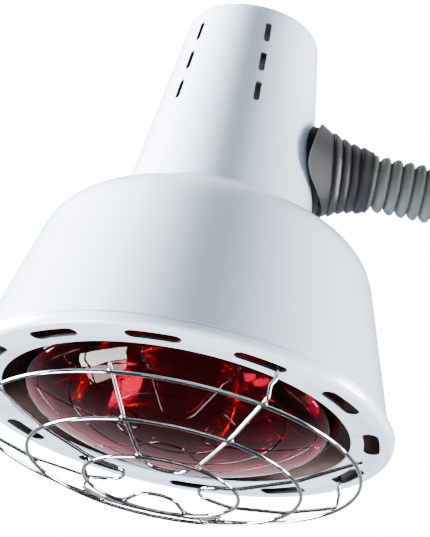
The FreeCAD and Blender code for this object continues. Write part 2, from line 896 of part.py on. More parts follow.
def make_contact_spring():
    """Coil spring between the contact's disc and the roof of its chamber."""
    wire = size.spring_wire.value
    radius = size.spring_radius.value
    foot = number_of(tip_top + size.contact_plate) + wire
    rise = size.spring_chamber_top.value - wire - foot
    arcs = int(size.spring_arc_count.value)
    steps = arcs * int(size.spring_turn_count.value)
    edges = []
    for step in range(steps):
        points = []
        for share in (0, 0.5, 1):
            angle = (step + share) * 2 * math.pi / arcs
            height = foot + rise * (step + share) / steps
            points.append(FreeCAD.Vector(radius * math.cos(angle), radius * math.sin(angle), height))
        edges.append(Part.Arc(*points).toShape())
    spring = feature("contact_spring", wire_solid(Part.Wire(edges), wire))
    place_in_lamp(spring)


def make_terminal_block():
    """Terminal block on top of the strap."""
    block = primitive(
        "Box", "terminal_block", Length=size.block_length, Width=size.block_width, Height=size.block_height
    )
    place_in_lamp(block, size.block_length / -2, size.block_width / -2, size.strap_top)


def make_leads():
    """Two leads from the terminal block down to the gooseneck's bore."""
    top = size.strap_top + size.lead_height
    points = (
        corner(size.block_length / 2, top),
        corner(size.lead_drop, top),
        corner(size.lead_drop, size.port_height),
        corner(size.lead_end, size.port_height),
    )
    for name, side in (("lead_live", 1), ("lead_neutral", -1)):
        path = bent_path(
            [FreeCAD.Vector(item.across.value, 0, item.up.value) for item in points],
            [size.lead_bend.value] * 2,
        )
        lead = feature(name, wire_solid(path, size.lead_radius.value))
        place_in_lamp(lead, y=size.lead_spacing / 2 * side)


# ---------------------------------------------------------------------------
# Gooseneck port
# ---------------------------------------------------------------------------


def neck_cut(body, name, gap, reach=None, shift=None):
    """Cut away what lies inside the neck's surface plus a gap, or outside it up to a reach."""
    half = size.gasket_radius * 2
    low = neck_radius(size.port_height - half) + gap
    high = neck_radius(size.port_height + half) + gap
    inner = 0 if reach is None else reach
    spin(body, name, [
        corner(inner, -half),
        corner(low, -half),
        corner(high, half),
        corner(inner, half),
    ], "Groove", shift=shift)


def make_gasket():
    """Rubber gasket that lies saddle-wise on the neck round the port."""
    body = make_body("port_gasket")
    bore = size.stem_radius + size.port_gap
    spin(body, "disc", [
        corner(size.stem_start, bore),
        corner(size.collar_end, bore),
        corner(size.collar_end, size.gasket_radius),
        corner(size.stem_start, size.gasket_radius),
    ], axis="H_Axis")
    neck_cut(body, "saddle", size.gasket_gap)
    neck_cut(body, "crown", size.gasket_gap + size.gasket_wall, size.neck_foot_radius * 2)
    place_in_port(body)


def make_head_fitting():
    """Turned fitting: saddle collar on the gasket, cup for the conduit, threaded stem to the inside."""
    body = make_body("head_fitting")
    spin(body, "collar", [
        corner(size.stem_start, size.stem_bore),
        corner(size.collar_end, size.stem_bore),
        corner(size.collar_end, cup_bore),
        corner(size.cup_end, cup_bore),
        corner(size.cup_end, size.cup_radius),
        corner(size.collar_end, size.cup_radius),
        corner(size.collar_end, size.collar_radius, size.collar_chamfer),
        corner(size.stem_start, size.collar_radius),
    ], axis="H_Axis")
    neck_cut(body, "seat", size.gasket_gap * 2 + size.gasket_wall)
    spin(body, "stem", [
        corner(size.stem_start, size.stem_bore),
        corner(size.collar_end, size.stem_bore),
        corner(size.collar_end, size.stem_radius),
        corner(size.stem_start, size.stem_radius),
    ], axis="H_Axis")
    place_in_port(body)


def make_lock_washer():
    """Washer under the lock nut, inside the neck."""
    body = make_body("lock_washer")
    bore = size.stem_radius + size.port_gap
    spin(body, "washer", [
        corner(washer_start, bore),
        corner(washer_end, bore),
        corner(washer_end, size.lock_washer_radius),
        corner(washer_start, size.lock_washer_radius),
    ], axis="H_Axis")
    place_in_port(body)


def draw_hexagon(sketch, width):
    """Draw a hexagon of a width across its flats about the sketch's origin."""
    radius = width / math.sqrt(3)
    corners = []
    for step in range(6):
        angle = math.radians(60 * step)
        corners.append(corner(radius * round(math.cos(angle), 9), radius * round(math.sin(angle), 9)))
    draw_outline(sketch, corners)


def make_lock_nut():
    """Hexagon nut that pulls the fitting against the neck."""
    body = make_body("lock_nut")
    start = washer_start - size.lock_nut_height
    sketch = make_sketch(body, "nut_outline", "YZ_Plane", shift={"z": start})
    draw_hexagon(sketch, size.lock_nut_width)
    draw_circle(sketch, 0, 0, size.stem_radius + size.thread_gap)
    extrude(body, "nut", sketch, size.lock_nut_height)
    place_in_port(body)


def boot_rings(stations):
    """Leaning circles on the port's axis, from pairs of place and radius."""
    first, last = size.boot_neck.value, size.boot_end.value
    rings = []
    for across, radius in stations:
        share = min(max((across - first) / (last - first), 0), 1)
        lean = size.boot_lean.value + (size.boot_end_lean.value - size.boot_lean.value) * share
        angle = math.radians(lean)
        heading = FreeCAD.Vector(math.cos(angle), 0, math.sin(angle))
        rings.append((FreeCAD.Vector(across, 0, 0), heading, radius))
    return rings


def make_boot():
    """Rubber boot: a flared skirt cut to the neck, then four ribs that lean less and less."""
    neck, neck_ring = size.boot_neck.value, size.boot_neck_radius.value
    end, end_ring = size.boot_end.value, size.boot_end_radius.value
    pitch, rise = size.boot_rib_pitch.value, size.boot_rib_rise.value
    flare = size.boot_flare.value
    start = size.boot_start.value
    outer = [(start, neck_ring + (neck - start) * flare)]
    ribs = int(size.boot_rib_count.value)
    peak = size.boot_rib_peak_share.value
    for rib in range(ribs):
        groove_ring = end_ring + (neck_ring - end_ring) * (1 - rib / ribs) ** 2
        outer.append((neck + pitch * rib, groove_ring))
        outer.append((neck + pitch * (rib + peak), groove_ring + rise))
    outer.append((end, end_ring))
    grip = size.crest_radius.value + size.boot_grip_gap.value
    wall = size.boot_wall.value
    inner = [
        (start - CUT_OVERRUN, outer[0][1] + flare - wall),
        (neck, neck_ring - wall),
        (neck + pitch, grip + (neck_ring - end_ring) / ribs),
        (neck + pitch * (ribs - 1), grip),
        (end + CUT_OVERRUN, grip),
    ]
    solid = ribbed_solid(boot_rings(outer)).cut(ribbed_solid(boot_rings(inner)))
    half = size.gasket_radius.value * 2
    low = number_of(neck_radius(size.port_height - half))
    high = number_of(neck_radius(size.port_height + half))
    mouth = Part.makeCone(low, high, 2 * half, FreeCAD.Vector(size.boot_standoff.value, 0, -half))
    boot = feature("boot", solid.cut(mouth).Solids[0])
    place_in_port(boot)


# ---------------------------------------------------------------------------
# Wire guard
# ---------------------------------------------------------------------------


def make_guard_rings():
    """Three welded rings that grow towards the rim."""
    for name, radius, drop in (
        ("guard_ring_outer", guard_outer_radius, size.guard_outer_drop),
        ("guard_ring_middle", size.guard_middle_radius, size.guard_middle_drop),
        ("guard_ring_inner", size.guard_inner_radius, size.guard_inner_drop),
    ):
        ring = primitive("Torus", name, Radius1=radius, Radius2=size.guard_wire / 2)
        place_in_lamp(ring, z=-drop)


def guard_leg():
    """Run of a leg from the inner ring outwards, as pairs of radius and height, and its slope."""
    touch = size.guard_wire.value + size.weld_gap.value
    rings = [
        (size.guard_inner_radius.value, -size.guard_inner_drop.value),
        (size.guard_middle_radius.value, -size.guard_middle_drop.value),
        (guard_outer_radius.value, -size.guard_outer_drop.value),
    ]
    places = []
    for first, second in zip(rings, rings[1:]):
        slope = (second[1] - first[1]) / (second[0] - first[0])
        places.append((first[0], first[1] + touch * math.sqrt(1 + slope * slope)))
    outer = rings[-1]
    lift = touch * math.sqrt(1 + slope * slope)
    slope = (outer[1] + lift - places[-1][1]) / (outer[0] - places[-1][0])
    hook = slot_circle.value
    places.append((hook, outer[1] + lift + slope * (hook - outer[0])))
    return places


def make_guard_wires():
    """Four bent wires: each leaves the rim by a hook, loops round near the centre and comes back."""
    spread = math.radians(size.guard_spread.value)
    out = FreeCAD.Vector(math.cos(spread), math.sin(spread), 0)
    back = FreeCAD.Vector(math.cos(spread), -math.sin(spread), 0)
    along = Z_AXIS.cross(out)
    leg = guard_leg()
    hook = out * slot_circle.value
    jog = along * size.hook_jog.value
    lip_height = number_of(size.rim_plate + size.hook_gap + size.guard_wire / 2)
    jog_low = -size.hook_jog_drop.value
    jog_high = jog_low + size.hook_jog_rise.value
    points = [
        hook + jog + along * size.hook_lip.value + Z_AXIS * lip_height,
        hook + jog + Z_AXIS * lip_height,
        hook + jog + Z_AXIS * jog_high,
        hook + Z_AXIS * jog_low,
    ]
    points += [out * radius + Z_AXIS * height for radius, height in reversed(leg)]
    points.append(Z_AXIS * leg[0][1])
    points += [back * radius + Z_AXIS * height for radius, height in leg]
    hook_bend, leg_bend = size.hook_bend.value, size.guard_bend.value
    bends = [hook_bend] * 4 + [leg_bend] * 2 + [size.guard_eye.value] + [leg_bend] * 2
    shape = wire_solid(bent_path(points, bends), size.guard_wire.value / 2)
    for index in range(ROUND_COUNT):
        wire = feature("guard_wire_%d" % (index + 1), shape)
        place_in_lamp(wire, angle=size.guard_phase + QUARTER * index)


# ---------------------------------------------------------------------------
# Bulb
# ---------------------------------------------------------------------------


def make_bulb_lens():
    """Red lens: domed face, rounded edge, and an upright rim that meets the reflector."""
    body = make_body("bulb_lens")
    inner = size.bulb_radius - size.lens_wall
    inner_curve = size.lens_curve - size.lens_wall
    inner_round = size.lens_edge_round - size.lens_wall
    outer_turn = lens_middle - size.lens_curve * lens_level
    inner_turn = lens_middle - inner_curve * lens_level
    spin(body, "lens", [
        corner(0, size.lens_apex, arc=size.lens_curve),
        corner(size.lens_curve * lens_lean, outer_turn, arc=size.lens_edge_round),
        corner(size.bulb_radius, lens_upright),
        corner(size.bulb_radius, size.lens_rim),
        corner(inner, size.lens_rim),
        corner(inner, lens_upright, arc=-inner_round),
        corner(inner_curve * lens_lean, inner_turn, arc=-inner_curve),
        corner(0, size.lens_apex + size.lens_wall),
    ])
    place_in_lamp(body)


def make_bulb_reflector():
    """Silvered glass reflector that narrows to the bulb's neck."""
    body = make_body("bulb_reflector")
    outer = [
        corner(size.bulb_radius, size.lens_rim),
        corner(size.reflector_shoulder_radius, size.reflector_shoulder, size.reflector_shoulder_round),
        corner(size.reflector_waist_radius, size.reflector_waist, size.reflector_waist_round),
        corner(size.reflector_throat_radius, size.reflector_throat, size.reflector_throat_round),
        corner(size.reflector_end_radius, size.bulb_collar_foot),
    ]
    profile = thickened(outer, size.reflector_wall)
    profile[-1] = corner(profile[-1].across, size.lens_rim)
    profile[len(outer)] = corner(profile[len(outer)].across, size.bulb_collar_foot)
    spin(body, "reflector", profile)
    place_in_lamp(body)


def make_bulb_collar():
    """Collar between the glass and the cap."""
    body = make_body("bulb_collar")
    bore = size.press_radius + size.press_gap
    spin(body, "collar", [
        corner(bore, size.bulb_collar_foot),
        corner(size.bulb_collar_radius, size.bulb_collar_foot),
        corner(size.bulb_collar_top_radius, size.bulb_collar_top),
        corner(bore, size.bulb_collar_top),
    ])
    place_in_lamp(body)


def make_bulb_cap():
    """Screw cap, drawn at the crest of its thread."""
    body = make_body("bulb_cap")
    profile = thickened([
        corner(size.cap_radius, size.bulb_collar_top),
        corner(size.cap_radius, cap_top, size.cap_round),
        corner(size.cap_eye, cap_top),
    ], size.cap_wall)
    spin(body, "cap", profile)
    place_in_lamp(body)


def make_bulb_insulator():
    """Black glass between the cap and the centre contact."""
    insulator = primitive(
        "Cone", "bulb_insulator", Radius1=size.cap_eye, Radius2=size.tip_radius, Height=size.insulator_height
    )
    place_in_lamp(insulator, z=cap_top)


def make_bulb_tip():
    """Centre contact of the bulb."""
    tip = primitive("Cylinder", "bulb_tip", Radius=size.tip_radius, Height=size.tip_height)
    place_in_lamp(tip, z=cap_top + size.insulator_height)


def make_bulb_press():
    """Glass press that carries the filament's leads, up inside the collar."""
    press = primitive(
        "Cone",
        "bulb_press",
        Radius1=size.press_tip_radius,
        Radius2=size.press_radius,
        Height=size.bulb_collar_foot + size.press_engagement - size.press_foot,
    )
    place_in_lamp(press, z=size.press_foot)


def make_filament():
    """Filament coil, drawn as a round bar, and the two leads that hold it."""
    coil = primitive("Cylinder", "bulb_filament", Radius=size.filament_radius, Height=size.filament_span)
    place_in_lamp(coil, size.filament_span / -2, 0, size.filament_height, Y_AXIS, 90)
    body = make_body("bulb_leads")
    foot = size.filament_height + size.filament_radius
    sketch = make_sketch(body, "lead_outline", "XY_Plane", shift={"z": foot})
    for side in (1, -1):
        draw_circle(sketch, size.filament_lead_spread * side, 0, size.filament_lead)
    extrude(body, "leads", sketch, size.press_foot - foot)
    place_in_lamp(body)


# ---------------------------------------------------------------------------
# Gooseneck and base
# ---------------------------------------------------------------------------


def rib_stations(start, end):
    """Places along a segment and the sleeve's radius there, crest and valley by turns."""
    half_pitch = size.rib_pitch / 2
    rise = size.crest_radius - size.valley_radius
    first = int(start.value // half_pitch.value)
    last = int(math.ceil(end.value / half_pitch.value))
    stations = []
    for step in range(first, last + 1):
        peak = step % 2
        place_along = half_pitch * step
        radius = size.valley_radius + rise * peak
        if step == first:
            share = (start - place_along) / half_pitch
            radius = radius + rise * share * (1 - 2 * peak)
            place_along = start
        if step == last:
            share = (place_along - end) / half_pitch
            radius = radius + rise * share * (1 - 2 * peak)
            place_along = end
        stations.append((place_along, radius))
    return stations


def place_on_straight(thing, index):
    """Place a segment drawn along Z on one of the arm's straight runs."""
    if index < LOWER_COUNT:
        place(thing, z=size.ferrule_floor + segment_length * index)
        return
    run = index - LOWER_COUNT - BENT_COUNT
    top = size.ferrule_floor + segment_length * LOWER_COUNT + bend_radius
    place(thing, x=-(bend_radius + segment_length * run), z=top, axis=Y_AXIS, angle=-QUARTER)


def place_on_bend(thing, index, trim):
    """Place a segment drawn about the bend's centre, turned to its share of the bend."""
    step = QUARTER / BENT_COUNT
    angle = trim / bend_radius * (180 / math.pi) + step * (index - LOWER_COUNT)
    centre = size.ferrule_floor + segment_length * LOWER_COUNT
    place(thing, x=-bend_radius, z=centre, axis=-Y_AXIS, angle=angle)
    bind(thing, "Placement.Rotation.Angle", angle)


def make_straight_sleeve(name, index, start, end):
    """Corrugated plastic sleeve of a straight segment."""
    body = make_body(name)
    profile = [corner(radius, along) for along, radius in rib_stations(start, end)]
    profile.append(corner(size.sleeve_bore, end))
    profile.append(corner(size.sleeve_bore, start))
    spin(body, "sleeve", profile)
    place_on_straight(body, index)


def make_straight_conduit(name, index, start, end):
    """Metal conduit inside a straight segment."""
    body = make_body(name)
    spin(body, "tube", [
        corner(size.conduit_bore, start),
        corner(size.conduit_radius, start),
        corner(size.conduit_radius, end),
        corner(size.conduit_bore, end),
    ])
    place_on_straight(body, index)


def make_curved_sleeve(name, index):
    """Corrugated sleeve of a bent segment, ruled through circles that fan out round the bend."""
    radius = bend_radius.value
    start = size.sleeve_gap / 2
    rings = []
    for along, ring in rib_stations(start, segment_length - start):
        angle = (along.value - start.value) / radius
        centre = FreeCAD.Vector(radius * math.cos(angle), 0, radius * math.sin(angle))
        heading = FreeCAD.Vector(-math.sin(angle), 0, math.cos(angle))
        rings.append((centre, heading, ring.value))
    sweep = math.degrees(number_of(segment_length - size.sleeve_gap) / radius)
    section = Part.Wire(Part.makeCircle(size.sleeve_bore.value, FreeCAD.Vector(radius, 0, 0), Z_AXIS))
    bore = Part.Face(section).revolve(ORIGIN, -Y_AXIS, sweep + 2 * CUT_OVERRUN)
    bore.rotate(ORIGIN, Y_AXIS, CUT_OVERRUN)
    sleeve = feature(name, ribbed_solid(rings).cut(bore))
    place_on_bend(sleeve, index, start)


def make_curved_conduit(name, index):
    """Metal conduit of a bent segment."""
    body = make_body(name)
    sketch = make_sketch(body, "tube_outline", "XY_Plane")
    draw_circle(sketch, bend_radius, 0, size.conduit_radius)
    draw_circle(sketch, bend_radius, 0, size.conduit_bore)
    tube = body.newObject("PartDesign::Revolution", "tube")
    tube.Profile = sketch
    tube.ReferenceAxis = (sketch, ["V_Axis"])
    tube.Reversed = True
    bind(tube, "Angle", (segment_length - size.conduit_gap) / bend_radius * (180 / math.pi))
    place_on_bend(body, index, size.conduit_gap / 2)


def make_gooseneck():
    """Ten segments, from the base ferrule up and over to the lamp."""
    segments = LOWER_COUNT + BENT_COUNT + UPPER_COUNT
    sleeve_trim = size.sleeve_gap / 2
    conduit_trim = size.conduit_gap / 2
    for index in range(segments):
        sleeve, conduit = "sleeve_%02d" % (index + 1), "conduit_%02d" % (index + 1)
        if LOWER_COUNT <= index < LOWER_COUNT + BENT_COUNT:
            make_curved_sleeve(sleeve, index)
            make_curved_conduit(conduit, index)
            continue
        sleeve_end = segment_length - sleeve_trim
        conduit_start, conduit_end = conduit_trim, segment_length - conduit_trim
        if index == 0:
            conduit_start = flange_face + size.hex_height + size.conduit_inset - size.ferrule_floor
        if index == segments - 1:
            sleeve_end = segment_length + size.chain_end - size.cup_end - sleeve_trim
            conduit_end = segment_length + size.chain_end - size.collar_end - size.conduit_inset
        make_straight_sleeve(sleeve, index, sleeve_trim, sleeve_end)
        make_straight_conduit(conduit, index, conduit_start, conduit_end)


def make_base_fitting():
    """Base of the gooseneck: hollow threaded stud, hexagon and ferrule in one turned piece."""
    body = make_body("base_fitting")
    hex_top = flange_face + size.hex_height
    sketch = make_sketch(body, "hexagon_outline", "XY_Plane", shift={"z": flange_face})
    draw_hexagon(sketch, size.hex_width)
    draw_circle(sketch, 0, 0, size.stud_bore)
    extrude(body, "hexagon", sketch, size.hex_height)
    pocket = size.crest_radius + size.ferrule_gap
    spin(body, "stud", [
        corner(size.stud_bore, -flange_face),
        corner(size.stud_radius - size.stud_chamfer, -flange_face),
        corner(size.stud_radius, size.stud_chamfer - flange_face),
        corner(size.stud_radius, flange_face),
        corner(size.stud_bore, flange_face),
    ])
    spin(body, "ferrule", [
        corner(cup_bore, hex_top),
        corner(pocket + size.ferrule_wall, hex_top),
        corner(pocket + size.ferrule_wall, size.ferrule_top, size.ferrule_round),
        corner(pocket, size.ferrule_top),
        corner(pocket, size.ferrule_floor),
        corner(cup_bore, size.ferrule_floor),
    ])
    sketch = make_sketch(body, "grub_hole_outline", "YZ_Plane")
    draw_circle(sketch, 0, (size.ferrule_floor + size.ferrule_top) / 2, size.grub_radius + size.thread_gap)
    extrude(body, "grub_hole", sketch, pocket + size.ferrule_wall + CUT_OVERRUN, "Pocket", reverse=True)
    place(body)


def make_grub_screw():
    """Grub screw that locks the gooseneck in its ferrule."""
    pocket = size.crest_radius + size.ferrule_gap
    length = size.ferrule_wall - size.grub_inset
    grub = primitive("Cylinder", "grub_screw", Radius=size.grub_radius, Height=length)
    middle = (size.ferrule_floor + size.ferrule_top) / 2
    place(grub, pocket, 0, middle, Y_AXIS, 90)


# ---------------------------------------------------------------------------
# Build, check and write
# ---------------------------------------------------------------------------


def build():
    """Make every sub-part."""
    make_rim_ring()
    make_shade()
    make_neck_shell()
    make_neck_screws()
    make_socket_bracket()
    make_lampholder()
    make_shell_contact()
    make_holder_screws()
    make_contact_plunger()
    make_contact_spring()
    make_terminal_block()
    make_leads()
    make_gasket()
    make_head_fitting()
    make_lock_washer()
    make_lock_nut()
    make_boot()
    make_guard_rings()
    make_guard_wires()
    make_bulb_lens()
    make_bulb_reflector()
    make_bulb_collar()
    make_bulb_cap()
    make_bulb_insulator()
    make_bulb_tip()
    make_bulb_press()
    make_filament()
    make_gooseneck()
    make_base_fitting()
    make_grub_screw()
    doc.recompute()


def sub_parts():
    """The objects that are sub-parts: bodies, and what lies in no body."""
    parts = [item for item in doc.Objects if item.TypeId == "PartDesign::Body"]
    parts += [item for item in doc.Objects if item.TypeId.startswith("Part::")]
    return sorted(parts, key=lambda item: item.Label)


def check_objects():
    """Stop at any object that failed or any cut that removed nothing."""
    for item in doc.Objects:
        if "Invalid" in item.State or "Error" in item.State:
            raise RuntimeError("%s failed: %s" % (item.Label, item.State))
        if item.TypeId in ("PartDesign::Pocket", "PartDesign::Groove"):
            if item.BaseFeature.Shape.Volume - item.Shape.Volume < 0.01:
                raise RuntimeError("%s cuts nothing" % item.Name)


def write_parts():
    """Write each sub-part's shape to its own file."""
    os.makedirs("parts", exist_ok=True)
    for item in sub_parts():
        shape = item.Shape
        if shape.isNull() or not shape.isValid():
            raise RuntimeError("%s has no valid shape" % item.Label)
        shape.exportStep(os.path.join("parts", item.Label + ".step"))
        print("%-20s solids %d volume %9.1f" % (item.Label, len(shape.Solids), shape.Volume))
    print("sub-parts %d" % len(sub_parts()))


build()
check_objects()
write_parts()
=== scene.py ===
"""Dresses the infrared heat therapy lamp: finishes, detailed pieces, light and camera."""

from __future__ import annotations

import json
import logging
import math
from dataclasses import dataclass, field
from enum import Enum
from typing import Callable, Sequence

import bmesh
import bpy
from mathutils import Matrix, Vector

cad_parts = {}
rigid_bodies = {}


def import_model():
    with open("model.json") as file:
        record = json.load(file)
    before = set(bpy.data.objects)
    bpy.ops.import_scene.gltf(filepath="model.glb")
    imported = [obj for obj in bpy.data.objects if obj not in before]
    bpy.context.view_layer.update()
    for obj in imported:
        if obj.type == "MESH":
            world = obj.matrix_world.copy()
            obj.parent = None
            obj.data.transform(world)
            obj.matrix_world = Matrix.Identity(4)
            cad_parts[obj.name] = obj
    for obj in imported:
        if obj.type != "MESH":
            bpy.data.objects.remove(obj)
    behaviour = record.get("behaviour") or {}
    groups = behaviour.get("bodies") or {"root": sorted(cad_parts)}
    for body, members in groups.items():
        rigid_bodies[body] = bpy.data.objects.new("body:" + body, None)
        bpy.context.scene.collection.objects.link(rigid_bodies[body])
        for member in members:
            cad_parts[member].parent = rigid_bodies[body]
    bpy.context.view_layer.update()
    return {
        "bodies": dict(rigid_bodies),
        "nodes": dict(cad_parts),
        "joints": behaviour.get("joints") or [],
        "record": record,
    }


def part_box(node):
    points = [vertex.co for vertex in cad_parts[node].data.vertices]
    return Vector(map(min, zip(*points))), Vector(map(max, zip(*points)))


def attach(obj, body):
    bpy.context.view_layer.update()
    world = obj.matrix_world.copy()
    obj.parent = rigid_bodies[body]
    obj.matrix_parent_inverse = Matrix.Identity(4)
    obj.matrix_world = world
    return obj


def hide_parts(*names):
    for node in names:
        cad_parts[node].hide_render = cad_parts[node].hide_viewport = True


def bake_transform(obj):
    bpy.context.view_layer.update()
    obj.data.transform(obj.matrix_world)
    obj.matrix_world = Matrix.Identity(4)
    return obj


MM = 0.001
FULL_TURN = 2 * math.pi
ALONG_X, ALONG_Y, UP = Vector((1, 0, 0)), Vector((0, 1, 0)), Vector((0, 0, 1))
NOISE_MIDDLE = (0.3, 0.7)  # most of a noise's values lie between these
PATCH_DETAIL, GRAIN_DETAIL = 4.0, 3.0  # octaves of noise
WELD_REACH = 1e-7  # metres between points that become one

log = logging.getLogger("heat_lamp")

Colour = tuple[float, float, float]
Point = tuple[float, float, float]
Span = tuple[float, float]
Ring = list[Vector]


class Slot(Enum):
    """Material slots of the lamp's record."""

    ENAMEL = "enamel"
    CHROME = "guard_chrome"
    RUBY = "ruby_glass"
    MIRROR = "mirror_glass"
    PORCELAIN = "porcelain"
    STEEL = "steel"
    BRASS = "brass"
    CAP = "cap_metal"
    RUBBER = "boot_rubber"
    SLEEVE = "sleeve_plastic"
    BLOCK = "block_plastic"
    LEAD_RED = "lead_red"
    LEAD_BLUE = "lead_blue"
    CLEAR = "clear_glass"
    NICKEL = "nickel"


class Body(Enum):
    """Bodies that pieces ride on."""

    BASE = "base"
    HEAD = "head"
    GUARD = "guard"
    BULB = "bulb"


# ---------------------------------------------------------------------------
# Finishes
# ---------------------------------------------------------------------------


class Mixed(Enum):
    """What a mix node mixes: its data type, its two inputs and its output."""

    COLOUR = ("RGBA", 6, 7, 2)
    NUMBER = ("FLOAT", 2, 3, 0)


class Nodes:
    """Adds and joins the nodes of one tree."""

    def __init__(self, tree: bpy.types.NodeTree) -> None:
        """Take a tree over.

        Args:
            tree: The tree of a material or of the world.
        """
        self.tree = tree

    def add(self, kind: str, **settings: object) -> bpy.types.Node:
        """Add a node with some of its properties set.

        Args:
            kind: Blender's name for the node type.
            **settings: Properties of the node.

        Returns:
            The new node.
        """
        node = self.tree.nodes.new(kind)
        for name, value in settings.items():
            setattr(node, name, value)
        return node

    def link(self, source: bpy.types.NodeSocket, target: bpy.types.NodeSocket) -> None:
        """Join an output to an input."""
        self.tree.links.new(source, target)

    def feed(self, target: bpy.types.NodeSocket, value: object) -> None:
        """Join an input to an output, or set it to a plain value.

        Args:
            target: The input.
            value: The output, or a number, a vector or a colour.
        """
        if isinstance(value, bpy.types.NodeSocket):
            self.link(value, target)
        elif target.type == "RGBA":
            target.default_value = (*value, 1.0)
        else:
            target.default_value = value

    def number(self, operation: str, *values: object) -> bpy.types.NodeSocket:
        """Work a number out from others.

        Args:
            operation: Blender's name for what is worked out.
            *values: Outputs or plain numbers, in the node's order.

        Returns:
            The number.
        """
        node = self.add("ShaderNodeMath", operation=operation)
        for target, value in zip(node.inputs, values):
            self.feed(target, value)
        return node.outputs[0]

    def vector(self, operation: str, *values: object, result: str = "Vector") -> bpy.types.NodeSocket:
        """Work a vector, or a number, out from vectors.

        Args:
            operation: Blender's name for what is worked out.
            *values: Outputs or plain vectors, in the node's order.
            result: The output to take, "Vector" or "Value".

        Returns:
            The vector or the number.
        """
        node = self.add("ShaderNodeVectorMath", operation=operation)
        for target, value in zip(node.inputs, values):
            self.feed(target, value)
        return node.outputs[result]

    def height(self, vector: bpy.types.NodeSocket) -> bpy.types.NodeSocket:
        """Upward part of a vector.

        Args:
            vector: The vector.

        Returns:
            Its third coordinate.
        """
        node = self.add("ShaderNodeSeparateXYZ")
        self.link(vector, node.inputs[0])
        return node.outputs["Z"]

    def rescale(self, value: bpy.types.NodeSocket, start: Span,
                end: Span = (0.0, 1.0)) -> bpy.types.NodeSocket:
        """Run the span between two numbers onto another span, and hold the value past both ends.

        Args:
            value: The value.
            start: The two numbers that the value passes.
            end: What they become.

        Returns:
            The new value.
        """
        node = self.add("ShaderNodeMapRange")
        for name, number in zip(("From Min", "From Max", "To Min", "To Max"), (*start, *end)):
            node.inputs[name].default_value = number
        self.link(value, node.inputs["Value"])
        return node.outputs["Result"]

    def mix(self, share: bpy.types.NodeSocket, first: object, second: object,
            kind: Mixed = Mixed.COLOUR) -> bpy.types.NodeSocket:
        """Mix two colours or two numbers, each plain or another output.

        Args:
            share: How much of the second one shows.
            first: The first colour or number.
            second: The second colour or number.
            kind: What is mixed.

        Returns:
            The mixed colour or number.
        """
        data_type, low, high, result = kind.value
        node = self.add("ShaderNodeMix", data_type=data_type)
        self.link(share, node.inputs[0])
        self.feed(node.inputs[low], first)
        self.feed(node.inputs[high], second)
        return node.outputs[result]


class Shader(Nodes):
    """One material's nodes around its principled shader."""

    def __init__(self, name: str) -> None:
        """Start an empty material.

        Args:
            name: The material's name.
        """
        self.material = bpy.data.materials.new(name)
        self.material.use_nodes = True
        super().__init__(self.material.node_tree)
        self.surface = self.tree.nodes["Principled BSDF"]
        texture = self.add("ShaderNodeTexCoord")
        self.coordinates = texture.outputs["Object"]
        self.normal = texture.outputs["Normal"]

    def set(self, **values: object) -> None:
        """Give sockets of the principled shader their values, with _ for a space in a socket's name."""
        for name, value in values.items():
            self.feed(self.surface.inputs[name.replace("_", " ")], value)

    def noise(self, scale: float, detail: float = GRAIN_DETAIL,
              stretch: Point = (1.0, 1.0, 1.0)) -> bpy.types.NodeSocket:
        """Noise over the object's own coordinates.

        Args:
            scale: Features per metre, roughly.
            detail: Octaves of finer noise.
            stretch: Factors on the three coordinates.

        Returns:
            The noise's value.
        """
        mapping = self.add("ShaderNodeMapping")
        mapping.inputs["Scale"].default_value = stretch
        self.link(self.coordinates, mapping.inputs["Vector"])
        noise = self.add("ShaderNodeTexNoise")
        noise.inputs["Scale"].default_value = scale
        noise.inputs["Detail"].default_value = detail
        self.link(mapping.outputs["Vector"], noise.inputs["Vector"])
        return noise.outputs["Fac"]

    def spread(self, value: bpy.types.NodeSocket, low: float, high: float) -> bpy.types.NodeSocket:
        """Stretch a noise's middle range to run between two numbers."""
        return self.rescale(value, NOISE_MIDDLE, (low, high))

    def edges(self, low: float, high: float) -> bpy.types.NodeSocket:
        """Share of wear on outward edges, from 0 at a low pointiness to 1 at a high one."""
        return self.rescale(self.add("ShaderNodeNewGeometry").outputs["Pointiness"], (low, high))

    def bump(self, height: bpy.types.NodeSocket, distance: float) -> None:
        """Raise the surface by a height.

        Args:
            height: The value to raise by.
            distance: Height of a full step, in metres.
        """
        node = self.add("ShaderNodeBump")
        node.inputs["Distance"].default_value = distance
        self.link(height, node.inputs["Height"])
        self.link(node.outputs["Normal"], self.surface.inputs["Normal"])


